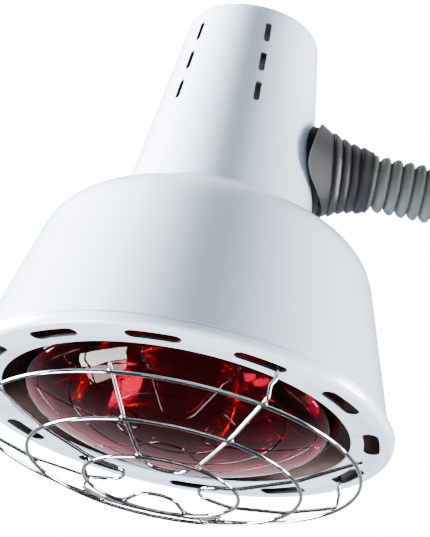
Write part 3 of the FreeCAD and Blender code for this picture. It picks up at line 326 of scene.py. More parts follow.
@dataclass(frozen=True)
class Finish:
    """A finish whose colour, gloss and grain vary over the surface.

    Attributes:
        slot: The material slot that it stands for.
        colour: One colour of the surface.
        second: The colour that its patches fade to.
        gloss: Roughness at the glossiest and at the dullest spots.
        patch_scale: Patches per metre, roughly.
        grain_scale: Grains per metre, roughly.
        grain_depth: Height of the grain in metres.
        stretch: Factors on the coordinates, which draw the noise out.
        metallic: Share of metal.
        coat: Weight of a clear coat.
        coat_roughness: Roughness of that coat.
        worn: Colour of the worn edges, where there are any.
        worn_from: Pointiness at which wear starts and is full.
        specular: Strength of the reflection.
    """

    slot: Slot
    colour: Colour
    second: Colour
    gloss: Span
    patch_scale: float = 60.0
    grain_scale: float = 900.0
    grain_depth: float = 0.00001
    stretch: Point = (1.0, 1.0, 1.0)
    metallic: float = 0.0
    coat: float = 0.0
    coat_roughness: float = 0.05
    worn: Colour | None = None
    worn_from: Span = (0.53, 0.60)
    specular: float = 0.5

    def dress(self, shader: Shader) -> None:
        """Lay the finish on a shader.

        Args:
            shader: The material to build.
        """
        patches = shader.noise(self.patch_scale, PATCH_DETAIL, self.stretch)
        colour = shader.mix(shader.spread(patches, 0.0, 1.0), self.colour, self.second)
        if self.worn is not None:
            colour = shader.mix(shader.edges(*self.worn_from), colour, self.worn)
        grain = shader.noise(self.grain_scale, GRAIN_DETAIL, self.stretch)
        shader.bump(grain, self.grain_depth)
        shader.set(Base_Color=colour, Roughness=shader.spread(grain, *self.gloss), Metallic=self.metallic,
                   Coat_Weight=self.coat, Coat_Roughness=self.coat_roughness,
                   Specular_IOR_Level=self.specular)


@dataclass(frozen=True)
class ZonedFinish(Finish):
    """A finish that gives way to another one in a zone about the lamp's axis.

    Attributes:
        inner: Colour of the other finish.
        inner_metallic: Its share of metal.
        inner_gloss: Its roughness.
        axis_place: Where the lamp's axis stands, in metres.
    """

    # Near black by default: painted shade in the neck's vents and in the rim's slots.
    inner: Colour = (0.004, 0.004, 0.004)
    inner_metallic: float = 0.0
    inner_gloss: float = 0.8
    axis_place: Span = (0.0, 0.0)

    @classmethod
    def over(cls, base: Finish, **settings: object) -> ZonedFinish:
        """Make the finish around another one's colours, gloss, grain and weight of coat.

        Args:
            base: The finish outside the zone.
            **settings: The zone's own fields.

        Returns:
            The finish with its zone.
        """
        return cls(base.slot, base.colour, base.second, base.gloss, base.patch_scale, base.grain_scale,
                   base.grain_depth, coat=base.coat, **settings)

    def dress(self, shader: Shader) -> None:
        """Lay the finish on a shader.

        Args:
            shader: The material to build.
        """
        super().dress(shader)
        zone = self.zone(shader)
        sockets = shader.surface.inputs
        colour, gloss = (sockets[name].links[0].from_socket for name in ("Base Color", "Roughness"))
        shader.set(
            Base_Color=shader.mix(zone, colour, self.inner_colour(shader)),
            Roughness=shader.mix(zone, gloss, self.inner_gloss, Mixed.NUMBER),
            Metallic=shader.mix(zone, self.metallic, self.inner_metallic, Mixed.NUMBER),
            Coat_Weight=shader.mix(zone, self.coat, 0.0, Mixed.NUMBER),
        )

    def zone(self, shader: Shader) -> bpy.types.NodeSocket:
        """Share of the inner finish, from 0 to 1."""
        raise NotImplementedError

    def inner_colour(self, shader: Shader) -> Colour | bpy.types.NodeSocket:
        """Colour of the inner finish."""
        return self.inner

    def from_axis(self, shader: Shader) -> bpy.types.NodeSocket:
        """Level vector from the lamp's axis to the shaded point."""
        apart = shader.vector("SUBTRACT", shader.coordinates, (*self.axis_place, 0.0))
        return shader.vector("MULTIPLY", apart, (1.0, 1.0, 0.0))

    def inwardness(self, shader: Shader, cosines: Span) -> bpy.types.NodeSocket:
        """How far the surface turns its back on the outside.

        Args:
            shader: The material to build.
            cosines: Cosines, between the surface's normal and the way out, that count as 1 and as 0.

        Returns:
            The share, from 1 on inward faces to 0 on outward ones.
        """
        way_out = shader.vector("NORMALIZE", self.from_axis(shader))
        facing = shader.vector("DOT_PRODUCT", way_out, shader.normal, result="Value")
        return shader.rescale(facing, cosines[::-1])

    def steepness(self, shader: Shader, upright: float) -> bpy.types.NodeSocket:
        """Whether the surface stands steeply: 1 where its normal's height is under a limit, else 0."""
        return shader.number("COMPARE", shader.height(shader.normal), 0.0, upright)


@dataclass(frozen=True)
class InsideShadeFinish(ZonedFinish):
    """Enamel outside; on what faces the lamp's axis, a darker, mirror-like finish whose dark reddish colour
    is painted shade.

    Attributes:
        facing: Cosines at which that painted-shade finish is full and at which it has ended.
        sooty: Near-black painted shade on the inside at the lamp's foot, seen through the rim's slots.
        soot: Heights between which the inside turns from that painted shade to its dark reddish colour, in
            metres.
    """

    # Painted shade: the inside of the shade is coloured dark reddish brown.
    inner: Colour = (0.085, 0.055, 0.054)
    inner_metallic: float = 0.70
    inner_gloss: float = 0.50
    facing: Span = (-0.05, 0.05)
    # Painted shade: near-black at the foot, where the slots look onto the inside wall.
    sooty: Colour = (0.004, 0.003, 0.003)
    soot: Span = (0.0, 1.0)

    def inner_colour(self, shader: Shader) -> Colour | bpy.types.NodeSocket:
        """Inner colour, painted shade that turns near-black at the lamp's foot."""
        share = shader.rescale(shader.height(shader.coordinates), self.soot)
        return shader.mix(share, self.sooty, self.inner)

    def zone(self, shader: Shader) -> bpy.types.NodeSocket:
        """Share of the painted-shade finish: 1 where the surface faces the lamp's axis, 0 elsewhere."""
        return self.inwardness(shader, self.facing)


@dataclass(frozen=True)
class VentedFinish(ZonedFinish):
    """Enamel outside with a near-black inside and near-black walls in the vents, both painted shade.

    Attributes:
        facing: Cosines at which the painted shade is full and at which it has ended.
        upright: Height of the normal up to which a face counts as steep.
    """

    facing: Span = (0.55, 0.60)
    upright: float = 0.75

    def zone(self, shader: Shader) -> bpy.types.NodeSocket:
        """Share of the painted shade: 1 on steep faces that don't face outward, 0 elsewhere."""
        inward = self.inwardness(shader, self.facing)
        return shader.number("MULTIPLY", inward, self.steepness(shader, self.upright))


@dataclass(frozen=True)
class PunchedFinish(ZonedFinish):
    """Enamel with near-black walls, painted shade, in the slots punched through the rim.

    Attributes:
        circle: Radius of the circle that the slots lie on, in metres.
        half_width: How far from it their walls reach, in metres.
        upright: Height of the normal up to which a face counts as steep.
    """

    circle: float = 0.073
    half_width: float = 0.0042
    upright: float = 0.75

    def zone(self, shader: Shader) -> bpy.types.NodeSocket:
        """Share of the painted-shade walls: 1 on steep faces near the slots' circle, 0 elsewhere.

        Args:
            shader: The material to build.

        Returns:
            The share.
        """
        radius = shader.vector("LENGTH", self.from_axis(shader), result="Value")
        near = shader.number("COMPARE", radius, self.circle, self.half_width)
        return shader.number("MULTIPLY", near, self.steepness(shader, self.upright))


@dataclass(frozen=True)
class GlassFinish(Finish):
    """A clear or coloured glass."""

    transmission: float = 1.0
    index: float = 1.5

    def dress(self, shader: Shader) -> None:
        """Lay the finish on a shader.

        Args:
            shader: The material to build.
        """
        super().dress(shader)
        shader.set(Transmission_Weight=self.transmission, IOR=self.index)


ENAMEL = Finish(Slot.ENAMEL, (0.540, 0.652, 0.800), (0.570, 0.682, 0.825), (0.20, 0.27), 30.0, 420.0,
                0.000012, coat=0.75, coat_roughness=0.04)

FINISHES: tuple[Finish, ...] = (
    ENAMEL,
    Finish(Slot.CHROME, (0.50, 0.51, 0.52), (0.40, 0.41, 0.42), (0.03, 0.08), 90.0, 1500.0, 0.000004,
           metallic=1.0),
    GlassFinish(Slot.RUBY, (0.62, 0.0016, 0.075), (0.54, 0.0012, 0.065), (0.004, 0.010), 26.0, 260.0,
                0.000001, index=1.34),
    Finish(Slot.MIRROR, (0.72, 0.71, 0.69), (0.62, 0.60, 0.58), (0.03, 0.09), 40.0, 700.0, 0.000002,
           metallic=1.0),
    Finish(Slot.PORCELAIN, (0.82, 0.80, 0.74), (0.76, 0.73, 0.67), (0.16, 0.30), 70.0, 800.0, 0.000014,
           coat=0.5),
    Finish(Slot.STEEL, (0.52, 0.53, 0.54), (0.40, 0.41, 0.42), (0.28, 0.44), 80.0, 1600.0, 0.000010,
           (1.0, 1.0, 5.0), metallic=1.0, worn=(0.70, 0.70, 0.70)),
    Finish(Slot.BRASS, (0.66, 0.50, 0.21), (0.50, 0.36, 0.14), (0.20, 0.38), 90.0, 1400.0, 0.000008,
           metallic=1.0),
    Finish(Slot.CAP, (0.62, 0.62, 0.61), (0.50, 0.50, 0.49), (0.24, 0.42), 90.0, 1300.0, 0.000010,
           metallic=1.0),
    Finish(Slot.RUBBER, (0.026, 0.026, 0.030), (0.029, 0.029, 0.033), (0.34, 0.36), 70.0, 1100.0, 0.000001,
           worn=(0.10, 0.10, 0.11), worn_from=(0.55, 0.66), specular=0.22),
    Finish(Slot.SLEEVE, (0.120, 0.134, 0.123), (0.155, 0.170, 0.158), (0.26, 0.36), 55.0, 1000.0, 0.000004,
           coat=0.10, coat_roughness=0.12, worn=(0.34, 0.36, 0.34), worn_from=(0.55, 0.66), specular=0.35),
    Finish(Slot.BLOCK, (0.030, 0.030, 0.032), (0.050, 0.050, 0.052), (0.42, 0.60), 90.0, 1200.0, 0.000020),
    Finish(Slot.LEAD_RED, (0.34, 0.055, 0.030), (0.26, 0.040, 0.024), (0.38, 0.55), 90.0, 1500.0, 0.000012),
    Finish(Slot.LEAD_BLUE, (0.045, 0.100, 0.32), (0.035, 0.080, 0.24), (0.38, 0.55), 90.0, 1500.0, 0.000012),
    GlassFinish(Slot.CLEAR, (0.90, 0.93, 0.93), (0.84, 0.88, 0.88), (0.010, 0.040), 60.0, 500.0, 0.000008),
    Finish(Slot.NICKEL, (0.60, 0.58, 0.54), (0.50, 0.48, 0.44), (0.18, 0.34), 90.0, 1500.0, 0.000008,
           (1.0, 1.0, 5.0), metallic=1.0, worn=(0.76, 0.74, 0.70)),
)

# Gasket rubber darker than the boot's: its own black plus painted shade for the gap under the boot's lip.
BLACK_RUBBER_AND_SHADE = Finish(Slot.RUBBER, (0.006, 0.006, 0.007), (0.010, 0.010, 0.011), (0.45, 0.60), 70.0, 1100.0,
                      0.000020, specular=0.15)


class Wardrobe:
    """Makes each finish once and hands it out.

    Attributes:
        FOOT_SHADE_HEIGHTS: Heights over the foot between which the painted shade inside the shade turns from
            near-black to its dark reddish colour.
    """

    FOOT_SHADE_HEIGHTS = (5 * MM, 7 * MM)

    def __init__(self, foot: Vector) -> None:
        """Build every finish.

        Args:
            foot: Where the lamp's axis meets its foot, in metres.
        """
        self.materials = {finish.slot: self.make(finish, finish.slot.value) for finish in FINISHES}
        axis_place = (foot.x, foot.y)
        # Heights of the near-black painted shade at the shade's inner foot.
        soot = tuple(foot.z + height for height in self.FOOT_SHADE_HEIGHTS)
        self.special = {
            "shade": self.make(InsideShadeFinish.over(ENAMEL, axis_place=axis_place, soot=soot), "enamel_inside_shade"),
            "rim_ring": self.make(PunchedFinish.over(ENAMEL, axis_place=axis_place), "enamel_punched"),
            "neck_shell": self.make(VentedFinish.over(ENAMEL, axis_place=axis_place), "enamel_vented"),
            "port_gasket": self.make(BLACK_RUBBER_AND_SHADE, "black_rubber_and_shade"),
        }

    @staticmethod
    def make(finish: Finish, name: str) -> bpy.types.Material:
        """Turn a finish into a material.

        Args:
            finish: The finish.
            name: The material's name.

        Returns:
            The material.
        """
        shader = Shader(name)
        finish.dress(shader)
        return shader.material

    @staticmethod
    def cover(thing: bpy.types.Object, material: bpy.types.Material) -> None:
        """Give an object one material in place of what it has."""
        thing.data.materials.clear()
        thing.data.materials.append(material)

    def wear(self, piece: bpy.types.Object, slot: Slot) -> None:
        """Give a new piece the finish of one slot."""
        self.cover(piece, self.materials[slot])

    def dress_nodes(self, frame: dict) -> None:
        """Give every CAD node the finish of its slot, or its own special one.
        """
        for part in frame["record"]["subparts"]:
            name = part["node"]
            material = self.special.get(name, self.materials[Slot(part["material_slot"])])
            self.cover(frame["nodes"][name], material)


# ---------------------------------------------------------------------------
# Meshes
# ---------------------------------------------------------------------------


@dataclass
class Skin:
    """A mesh in the making, of rings of points joined in order."""

    points: list[Vector] = field(default_factory=list)
    faces: list[tuple[int, ...]] = field(default_factory=list)

    def loft(self, rings: Sequence[Ring], closed: bool = False) -> None:
        """Join rings of as many points each.

        Args:
            rings: The rings in order.
            closed: Whether the last ring joins the first.
        """
        start = len(self.points)
        count = len(rings[0])
        for ring in rings:
            self.points.extend(ring)
        spans = len(rings) if closed else len(rings) - 1
        for row in range(spans):
            near = start + row * count
            far = start + (row + 1) % len(rings) * count
            for step in range(count):
                after = (step + 1) % count
                self.faces.append((near + step, near + after, far + after, far + step))

    def cap(self, ring: Ring, reverse: bool = False) -> None:
        """Close a ring with one flat face.

        Args:
            ring: The ring.
            reverse: Whether the face looks the other way.
        """
        start = len(self.points)
        self.points.extend(ring)
        face = tuple(range(start, start + len(ring)))
        self.faces.append(face[::-1] if reverse else face)

    def make(self, name: str, crease: float = 40.0) -> bpy.types.Object:
        """Turn the points into a smooth-shaded object.

        Args:
            name: The piece's name.
            crease: Angle in degrees above which an edge stays sharp.

        Returns:
            The new object, in the row frame.
        """
        mesh = bpy.data.meshes.new(name)
        mesh.from_pydata([tuple(point) for point in self.points], [], self.faces)
        mesh.validate()
        thing = bpy.data.objects.new(name, mesh)
        bpy.context.scene.collection.objects.link(thing)
        weld_and_face_out(mesh)
        mesh.shade_smooth()
        mesh.set_sharp_from_angle(angle=math.radians(crease))
        return thing


def weld_and_face_out(mesh: bpy.types.Mesh) -> None:
    """Merge points that coincide and turn every face outwards.

    Args:
        mesh: The mesh to mend.
    """
    work = bmesh.new()
    work.from_mesh(mesh)
    bmesh.ops.remove_doubles(work, verts=work.verts, dist=WELD_REACH)
    bmesh.ops.recalc_face_normals(work, faces=work.faces)
    work.to_mesh(mesh)
    work.free()


def ring_about(centre: Vector, across: Vector, aside: Vector, radius: Callable[[float], float] | float,
               count: int) -> Ring:
    """Points round a centre.

    Args:
        centre: The ring's centre in metres.
        across: Direction of the first point.
        aside: Direction a quarter turn on.
        radius: Radius in metres, or a function of the angle.
        count: How many points.

    Returns:
        The ring's points.
    """
    ring = []
    for step in range(count):
        angle = FULL_TURN * step / count
        reach = radius(angle) if callable(radius) else radius
        ring.append(centre + (across * math.cos(angle) + aside * math.sin(angle)) * reach)
    return ring


def closed_piece(name: str, rings: Sequence[Ring], crease: float) -> bpy.types.Object:
    """Make an object of rings, the last of which joins the first.

    Args:
        name: The piece's name.
        rings: The rings in order.
        crease: Angle in degrees above which an edge stays sharp.

    Returns:
        The new object.
    """
    skin = Skin()
    skin.loft(rings, closed=True)
    return skin.make(name, crease)


def level_ring(foot: Vector, height: float, radius: Callable[[float], float] | float, count: int) -> Ring:
    """Points round an upright axis.

    Args:
        foot: Where heights are counted from, in metres.
        height: The ring's height in millimetres.
        radius: Radius in metres, or a function of the angle.
        count: How many points.

    Returns:
        The ring's points.
    """
    return ring_about(foot + UP * height * MM, ALONG_X, ALONG_Y, radius, count)


@dataclass(frozen=True)
class LampPlace:
    """Where the lamp's own frame lies: its axis, at the rim's lower face."""

    origin: Vector

    @classmethod
    def from_frame(cls) -> LampPlace:
        """Read the place from the rim ring."""
        low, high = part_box("rim_ring")
        return cls(Vector(((low.x + high.x) / 2, (low.y + high.y) / 2, low.z)))

    def at(self, x: float, y: float, z: float) -> Vector:
        """Place in metres of a point given in the lamp's frame in millimetres."""
        return self.origin + Vector((x, y, z)) * MM


# ---------------------------------------------------------------------------
# Gooseneck: sizes from here to the studio are millimetres and degrees
# ---------------------------------------------------------------------------


@dataclass(frozen=True)
class ArmLine:
    """The gooseneck's centre line: up, round a quarter turn, then level.

    Attributes:
        foot: Height of the ferrule's floor, where the line starts.
        segment: Length of one segment.
        lower: Segments in the upright stretch.
        bent: Segments in the quarter turn.
        upper: Segments in the level stretch.
    """

    foot: float = 20.0
    segment: float = 27.9
    lower: int = 3
    bent: int = 5
    upper: int = 2

    @property
    def bend_radius(self) -> float:
        """Radius of the quarter turn."""
        return self.segment * self.bent * 2 / math.pi

    @property
    def segments(self) -> int:
        """How many segments the arm has."""
        return self.lower + self.bent + self.upper

    def station(self, along: float) -> tuple[Vector, Vector]:
        """Point and heading at a length from the ferrule's floor.

        Args:
            along: The length in millimetres.

        Returns:
            The point in metres and the unit heading.
        """
        rise, arc, radius = self.segment * self.lower, self.segment * self.bent, self.bend_radius
        if along <= rise:
            return UP * (self.foot + along) * MM, UP
        top = self.foot + rise
        if along <= rise + arc:
            angle = (along - rise) / radius
            point = Vector((radius * (math.cos(angle) - 1), 0, top + radius * math.sin(angle)))
            return point * MM, Vector((-math.sin(angle), 0, math.cos(angle)))
        point = Vector((-radius - (along - rise - arc), 0, top + radius))
        return point * MM, Vector((-1, 0, 0))


@dataclass(frozen=True)
class Sleeve:
    """Corrugated plastic sleeve over the arm: one length over most joints, and two lengths that fan at the
    others.

    A fanning joint lies in a groove between two ribs, over a collar inside the bore.

    Attributes:
        line: The arm's centre line.
        fanning: Joints at which two separate lengths open and close.
        turned: Joints to be bent from the lamp's side; not used.
        collar: Inner and outer radius of the collar in a fanning joint.
        collar_reach: How far the collar runs to either side of its joint.
        pitch: Length of one rib.
        crest: Radius over the ribs.
        floor: Radius in the grooves.
        rib_peak: Where a rib's crest lies, as a share of the pitch.
        rib_fullness: Exponent of a rib's long side, fuller where it is smaller.
        bore: Radius of the bore.
        start: Where the sleeve starts along the arm.
        end: Where it ends.
        blend_reach: How far to either side of a joint the ends of its bend are worked out.
        slack: Share of a segment that a length may overrun without standing for its sleeve.
        steps: Stations on either side of a rib's crest.
        around: Points round the sleeve.
    """

    line: ArmLine
    fanning: tuple[int, ...] = (6, 7)
    turned: tuple[int, ...] = (9,)
    collar: Span = (7.4, 7.8)
    collar_reach: float = 2.0
    pitch: float = 4.65
    crest: float = 11.1
    floor: float = 8.6
    rib_peak: float = 0.36
    rib_fullness: float = 0.62
    bore: float = 8.2
    start: float = 1.1
    end: float = 276.05
    blend_reach: float = 11.0
    slack: float = 0.01
    steps: int = 6
    around: int = 64

    def radius(self, along: float) -> float:
        """Outer radius at a length: each rib drops steeply towards the base.

        Args:
            along: The length.

        Returns:
            The radius.
        """
        share = (along % self.pitch) / self.pitch
        if share < self.rib_peak:
            rise = math.sqrt(1 - (1 - share / self.rib_peak) ** 2)
        else:
            rise = math.cos(math.pi / 2 * (share - self.rib_peak) / (1 - self.rib_peak)) ** self.rib_fullness
        return self.floor + (self.crest - self.floor) * rise

    def stations(self, start: float, end: float) -> list[float]:
        """Lengths at which the ribs are drawn.

        Args:
            start: Where the ribs start.
            end: Where they end.

        Returns:
            The lengths in order, with both ends.
        """
        places = {start, end}
        for rib in range(int(start // self.pitch), int(end // self.pitch) + 1):
            foot = self.pitch * rib
            for share in (step / self.steps for step in range(self.steps)):
                places.add(foot + self.pitch * self.rib_peak * (1 - math.cos(math.pi / 2 * share)))
                places.add(foot + self.pitch * (self.rib_peak + (1 - self.rib_peak) * share))
        return sorted(place for place in places if start <= place <= end)

    def tube(self, name: str, places: list[float], outer: list[float], inner: float) -> bpy.types.Object:
        """One closed length of tube along the arm.

        Args:
            name: The piece's name.
            places: The lengths along the arm at which it is drawn.
            outer: Its outer radius at each of them.
            inner: Its bore's radius.

        Returns:
            The piece.
        """
        outside, inside = [], []
        for along, radius in zip(places, outer):
            centre, heading = self.line.station(along)
            aside = heading.cross(ALONG_Y)
            outside.append(ring_about(centre, ALONG_Y, aside, radius * MM, self.around))
            inside.append(ring_about(centre, ALONG_Y, aside, inner * MM, self.around))
        return closed_piece(name, outside + inside[::-1], crease=75.0)

    def run(self, name: str, start: float, end: float, wardrobe: Wardrobe) -> bpy.types.Object:
        """One ribbed length of sleeve in its finish, which stands for the CAD's sleeve there.

        Args:
            name: The piece's name.
            start: Where it starts along the arm.
            end: Where it ends.
            wardrobe: Where the finish comes from.

        Returns:
            The piece.
        """
        places = self.stations(start, end)
        piece = self.tube(name, places, [self.radius(along) for along in places], self.bore)
        wardrobe.wear(piece, Slot.SLEEVE)
        first = math.floor(start / self.line.segment + self.slack)
        last = min(math.ceil(end / self.line.segment - self.slack), self.line.segments)
        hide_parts(*(f"sleeve_{index + 1:02d}" for index in range(first, last)))
        return piece

    def over_joint(self, index: int, bodies: list[str], wardrobe: Wardrobe) -> None:
        """The sleeve from the middle of one segment to the middle of the next.

        Args:
            index: The joint's number, from 1 at the arm's foot.
            bodies: The bodies along the arm.
            wardrobe: Where the finish comes from.
        """
        segment = self.line.segment
        joint, half = segment * index, segment / 2
        name = f"sleeve_run_{index:02d}"
        near, far = bodies[index - 1], bodies[index]
        if index in self.fanning:
            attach(self.run(f"{name}_near", joint - half, joint, wardrobe), near)
            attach(self.run(f"{name}_far", joint, joint + half, wardrobe), far)
            places = [joint - self.collar_reach, joint + self.collar_reach]
            inner, outer = self.collar
            collar = self.tube(f"sleeve_collar_{index:02d}", places, [outer, outer], inner)
            wardrobe.wear(collar, Slot.SLEEVE)
            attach(collar, near)
            return
        ends = [(near, self.line.station(joint - self.blend_reach)[0]),
                (far, self.line.station(joint + self.blend_reach)[0])]
        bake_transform(self.run(name, joint - half, joint + half, wardrobe))

    def build(self, wardrobe: Wardrobe) -> None:
        """Make the whole sleeve: a length over each joint, and a rigid length at each end.

        Args:
            wardrobe: Where the finish comes from.
        """
        segment, count = self.line.segment, self.line.segments
        bodies = [Body.BASE.value, *(f"link_{index:02d}" for index in range(2, count)), Body.HEAD.value]
        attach(self.run("sleeve_run_00", self.start, segment / 2, wardrobe), bodies[0])
        for index in range(1, count):
            self.over_joint(index, bodies, wardrobe)
        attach(self.run(f"sleeve_run_{count:02d}", segment * (count - 0.5), self.end, wardrobe), bodies[-1])
        log.info("sleeve over %d joints", count - 1)


@dataclass(frozen=True)
class Boot:
    """Rubber boot: a flared skirt that meets the neck, then four leaning ribs.

    Places are counted along the boot's axis, outwards from the lamp's.

    Attributes:
        place: The lamp's frame.
        axis_height: Height of the boot's axis over the rim's lower face.
        flare_start: Place nearest the lamp at which the skirt may end.
        flare: How much wider the skirt grows for each millimetre towards the lamp.
        standoff: How far out from the neck's own surface the skirt ends.
        lean: Lean of the circles at the neck of the boot.
        end_lean: Their lean at its end.
        neck: Place at which the skirt meets the ribs.
        neck_ring: Radius there.
        end: Place of the plain end.
        end_ring: Radius there.
        pitch: Length of one rib.
        rise: Height of a rib over its grooves.
        ribs: How many ribs there are.
        rib_skew: Exponent that moves a rib's crest, towards the lamp where it is smaller.
        wall: Thickness of the skirt.
        grip: Radius of the bore round the sleeve.
        lip_round: How far the middle of the skirt's lip stands out.
        trim_across: Place at which the skirt is trimmed, at the axis's height.
        trim_slope: How far that place moves out for each millimetre up.
        trim_round: Rounding between the trimmed edge and the edge at the neck.
        foot_reach: How much closer to the neck the skirt comes low at its sides.
        foot_start: Height from the axis below which it does so.
        foot_fade: Depth over which that grows.
        inside_swell: How much wider the bore is under the ribs.
        lamp_neck_foot: Radius of the lamp's neck at its base.
        lamp_neck_top: Radius at its top.
        lamp_neck_base_height: Height of its base over the rim's lower face.
        lamp_neck_top_height: Height of its top.
        around: Points round each circle.
        skirt_steps: Rows along the skirt's outside.
        rib_steps: Rows along each rib.
        inside_steps: Rows along the skirt's inside.
        halvings: Steps of the search for the skirt's end.
    """

    place: LampPlace
    axis_height: float = 111.0
    flare_start: float = 22.0
    flare: float = 0.67
    standoff: float = 4.2
    lean: float = 7.0
    end_lean: float = 3.4
    neck: float = 39.4
    neck_ring: float = 15.8
    end: float = 55.3
    end_ring: float = 12.0
    pitch: float = 3.65
    rise: float = 0.9
    ribs: int = 4
    rib_skew: float = 0.55
    wall: float = 2.0
    grip: float = 11.35
    lip_round: float = 0.35
    trim_across: float = 30.0
    trim_slope: float = 0.24
    trim_round: float = 0.9
    foot_reach: float = 2.0
    foot_start: float = -4.0
    foot_fade: float = 8.0
    inside_swell: float = 0.9
    lamp_neck_foot: float = 36.7
    lamp_neck_top: float = 25.5
    lamp_neck_base_height: float = 82.1
    lamp_neck_top_height: float = 165.2
    around: int = 96
    skirt_steps: int = 12
    rib_steps: int = 12
    inside_steps: int = 4
    halvings: int = 40

    def lamp_neck_radius(self, height: float) -> float:
        """Radius of the lamp's neck.

        Args:
            height: Height above the boot's axis.

        Returns:
            The radius there.
        """
        rise = self.lamp_neck_top_height - self.lamp_neck_base_height
        slope = (self.lamp_neck_foot - self.lamp_neck_top) / rise
        return self.lamp_neck_foot - (self.axis_height + height - self.lamp_neck_base_height) * slope

    def point(self, across: float, radius: float, angle: float) -> Vector:
        """A point on the boot's leaning circles.

        Args:
            across: Place of the circle on the boot's axis, from the lamp's axis.
            radius: Radius of the circle.
            angle: Angle round the boot's axis, from the top.

        Returns:
            The point, with its height counted from the boot's axis.
        """
        share = min(max((across - self.neck) / (self.end - self.neck), 0.0), 1.0)
        lean = math.radians(self.lean + (self.end_lean - self.lean) * share)
        up = Vector((-math.sin(lean), 0, math.cos(lean)))
        return Vector((across, 0, 0)) + (up * math.cos(angle) + ALONG_Y * math.sin(angle)) * radius

    def skirt_radius(self, across: float, inset: float) -> float:
        """Radius of the flared skirt, or of its inside."""
        return self.neck_ring + (self.neck - across) * self.flare - inset

    def mouth(self, angle: float, inset: float) -> float:
        """Place on the axis where the skirt ends at an angle: at the neck, or where it is trimmed.

        Args:
            angle: Angle round the axis.
            inset: Wall thickness for the inside.

        Returns:
            The place.
        """
        low, high = self.flare_start, self.neck
        for _ in range(self.halvings):
            middle = (low + high) / 2
            spot = self.point(middle, self.skirt_radius(middle, inset), angle)
            below = min(max((self.foot_start - spot.z) / self.foot_fade, 0.0), 1.0)
            standoff = self.standoff - self.foot_reach * below * abs(math.sin(angle))
            inside = math.hypot(spot.x - standoff, spot.y) < self.lamp_neck_radius(spot.z)
            low, high = (middle, high) if inside else (low, middle)
        spot = self.point(low, self.skirt_radius(low, inset), angle)
        trim = self.trim_across + self.trim_slope * spot.z
        return self.trim_round * math.log(math.exp(low / self.trim_round) + math.exp(trim / self.trim_round))

    def rib_radius(self, across: float) -> float:
        """Outer radius over the ribs and the plain end.

        Args:
            across: Place on the axis.

        Returns:
            The radius there.
        """
        share = (across - self.neck) / self.pitch
        rib = min(int(share), self.ribs - 1)
        into = min(share - rib, 1.0)
        near = self.groove(rib)
        far = self.groove(rib + 1)
        swell = math.sin(math.pi * into ** self.rib_skew)
        return near + (far - near) * into + self.rise * max(swell, 0.0)

    def groove(self, rib: int) -> float:
        """Radius of the groove before a rib."""
        return self.end_ring + (self.neck_ring - self.end_ring) * (1 - rib / self.ribs) ** 2

    def rings(self) -> list[Ring]:
        """Every ring of the boot, out along the outside and back along the inside.

        Returns:
            The rings, the last of which joins the first.
        """
        angles = [FULL_TURN * step / self.around for step in range(self.around)]
        rows: list[Ring] = []
        for share in (step / self.skirt_steps for step in range(self.skirt_steps + 1)):
            row = []
            for angle in angles:
                across = self.mouth(angle, 0.0)
                across += (self.neck - across) * share
                row.append(self.point(across, self.skirt_radius(across, 0.0), angle))
            rows.append(row)
        circles = []
        for step in range(1, self.ribs * self.rib_steps + 1):
            across = self.neck + self.pitch * step / self.rib_steps
            circles.append((across, self.rib_radius(across)))
        inside = self.neck + self.pitch
        circles += [(self.end, self.end_ring), (self.end, self.grip), (inside + self.pitch * 2, self.grip),
                    (inside, self.grip + self.inside_swell), (self.neck, self.neck_ring - self.wall)]
        for across, radius in circles:
            rows.append([self.point(across, radius, angle) for angle in angles])
        for step in range(1, self.inside_steps + 1):
            row = []
            for angle in angles:
                across = self.mouth(angle, self.wall)
                across = self.neck + (across - self.neck) * step / self.inside_steps
                row.append(self.point(across, self.skirt_radius(across, self.wall), angle))
            rows.append(row)
        rows.append([(first + last) / 2 - ALONG_X * self.lip_round for first, last in zip(rows[0], rows[-1])])
        return rows

    def build(self, wardrobe: Wardrobe) -> None:
        """Make the boot.

        Args:
            wardrobe: Where the finish comes from.
        """
        shift = UP * self.axis_height
        rings = [[self.place.at(*(point + shift)) for point in ring] for ring in self.rings()]
        piece = closed_piece("boot_moulding", rings, crease=60.0)
        wardrobe.wear(piece, Slot.RUBBER)
        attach(piece, Body.HEAD.value)
        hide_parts("boot")
        log.info("boot with %d ribs", self.ribs)


# ---------------------------------------------------------------------------
# Turned and threaded parts
# ---------------------------------------------------------------------------


@dataclass(frozen=True)
class Thread:
    """A screw thread drawn as a helical ridge on a round bar.

    Attributes:
        crest: Radius over the thread.
        root: Radius in its groove.
        pitch: Rise in one turn.
        bottom: Height at which the thread starts.
        top: Height at which it ends.
        lead_in: Height over which the ridge grows at either end.
        around: Points round each ring.
        per_pitch: Rings in one turn's rise.
    """

    crest: float
    root: float
    pitch: float
    bottom: float
    top: float
    lead_in: float = 0.6
    around: int = 48
    per_pitch: int = 8

    def radius(self, height: float, angle: float) -> float:
        """Radius of the thread.

        Args:
            height: Height on the bar.
            angle: Angle round it.

        Returns:
            The radius there.
        """
        phase = (height / self.pitch - angle / FULL_TURN) % 1.0
        ridge = 1 - abs(2 * phase - 1)
        swell = ridge * ridge * (3 - 2 * ridge)
        edge = min((height - self.bottom) / self.lead_in, (self.top - height) / self.lead_in, 1.0)
        return self.root + (self.crest - self.root) * swell * max(edge, 0.0)

    def rings(self, centre: Vector) -> list[Ring]:
        """The bar's rings.

        Args:
            centre: The axis's foot, where heights are counted from, in metres.

        Returns:
            The rings from the bottom up.
        """
        count = int(math.ceil((self.top - self.bottom) / self.pitch * self.per_pitch))
        rings = []
        for step in range(count + 1):
            height = self.bottom + (self.top - self.bottom) * step / count
            rings.append(level_ring(centre, height, lambda angle: self.radius(height, angle) * MM,
                                    self.around))
        return rings


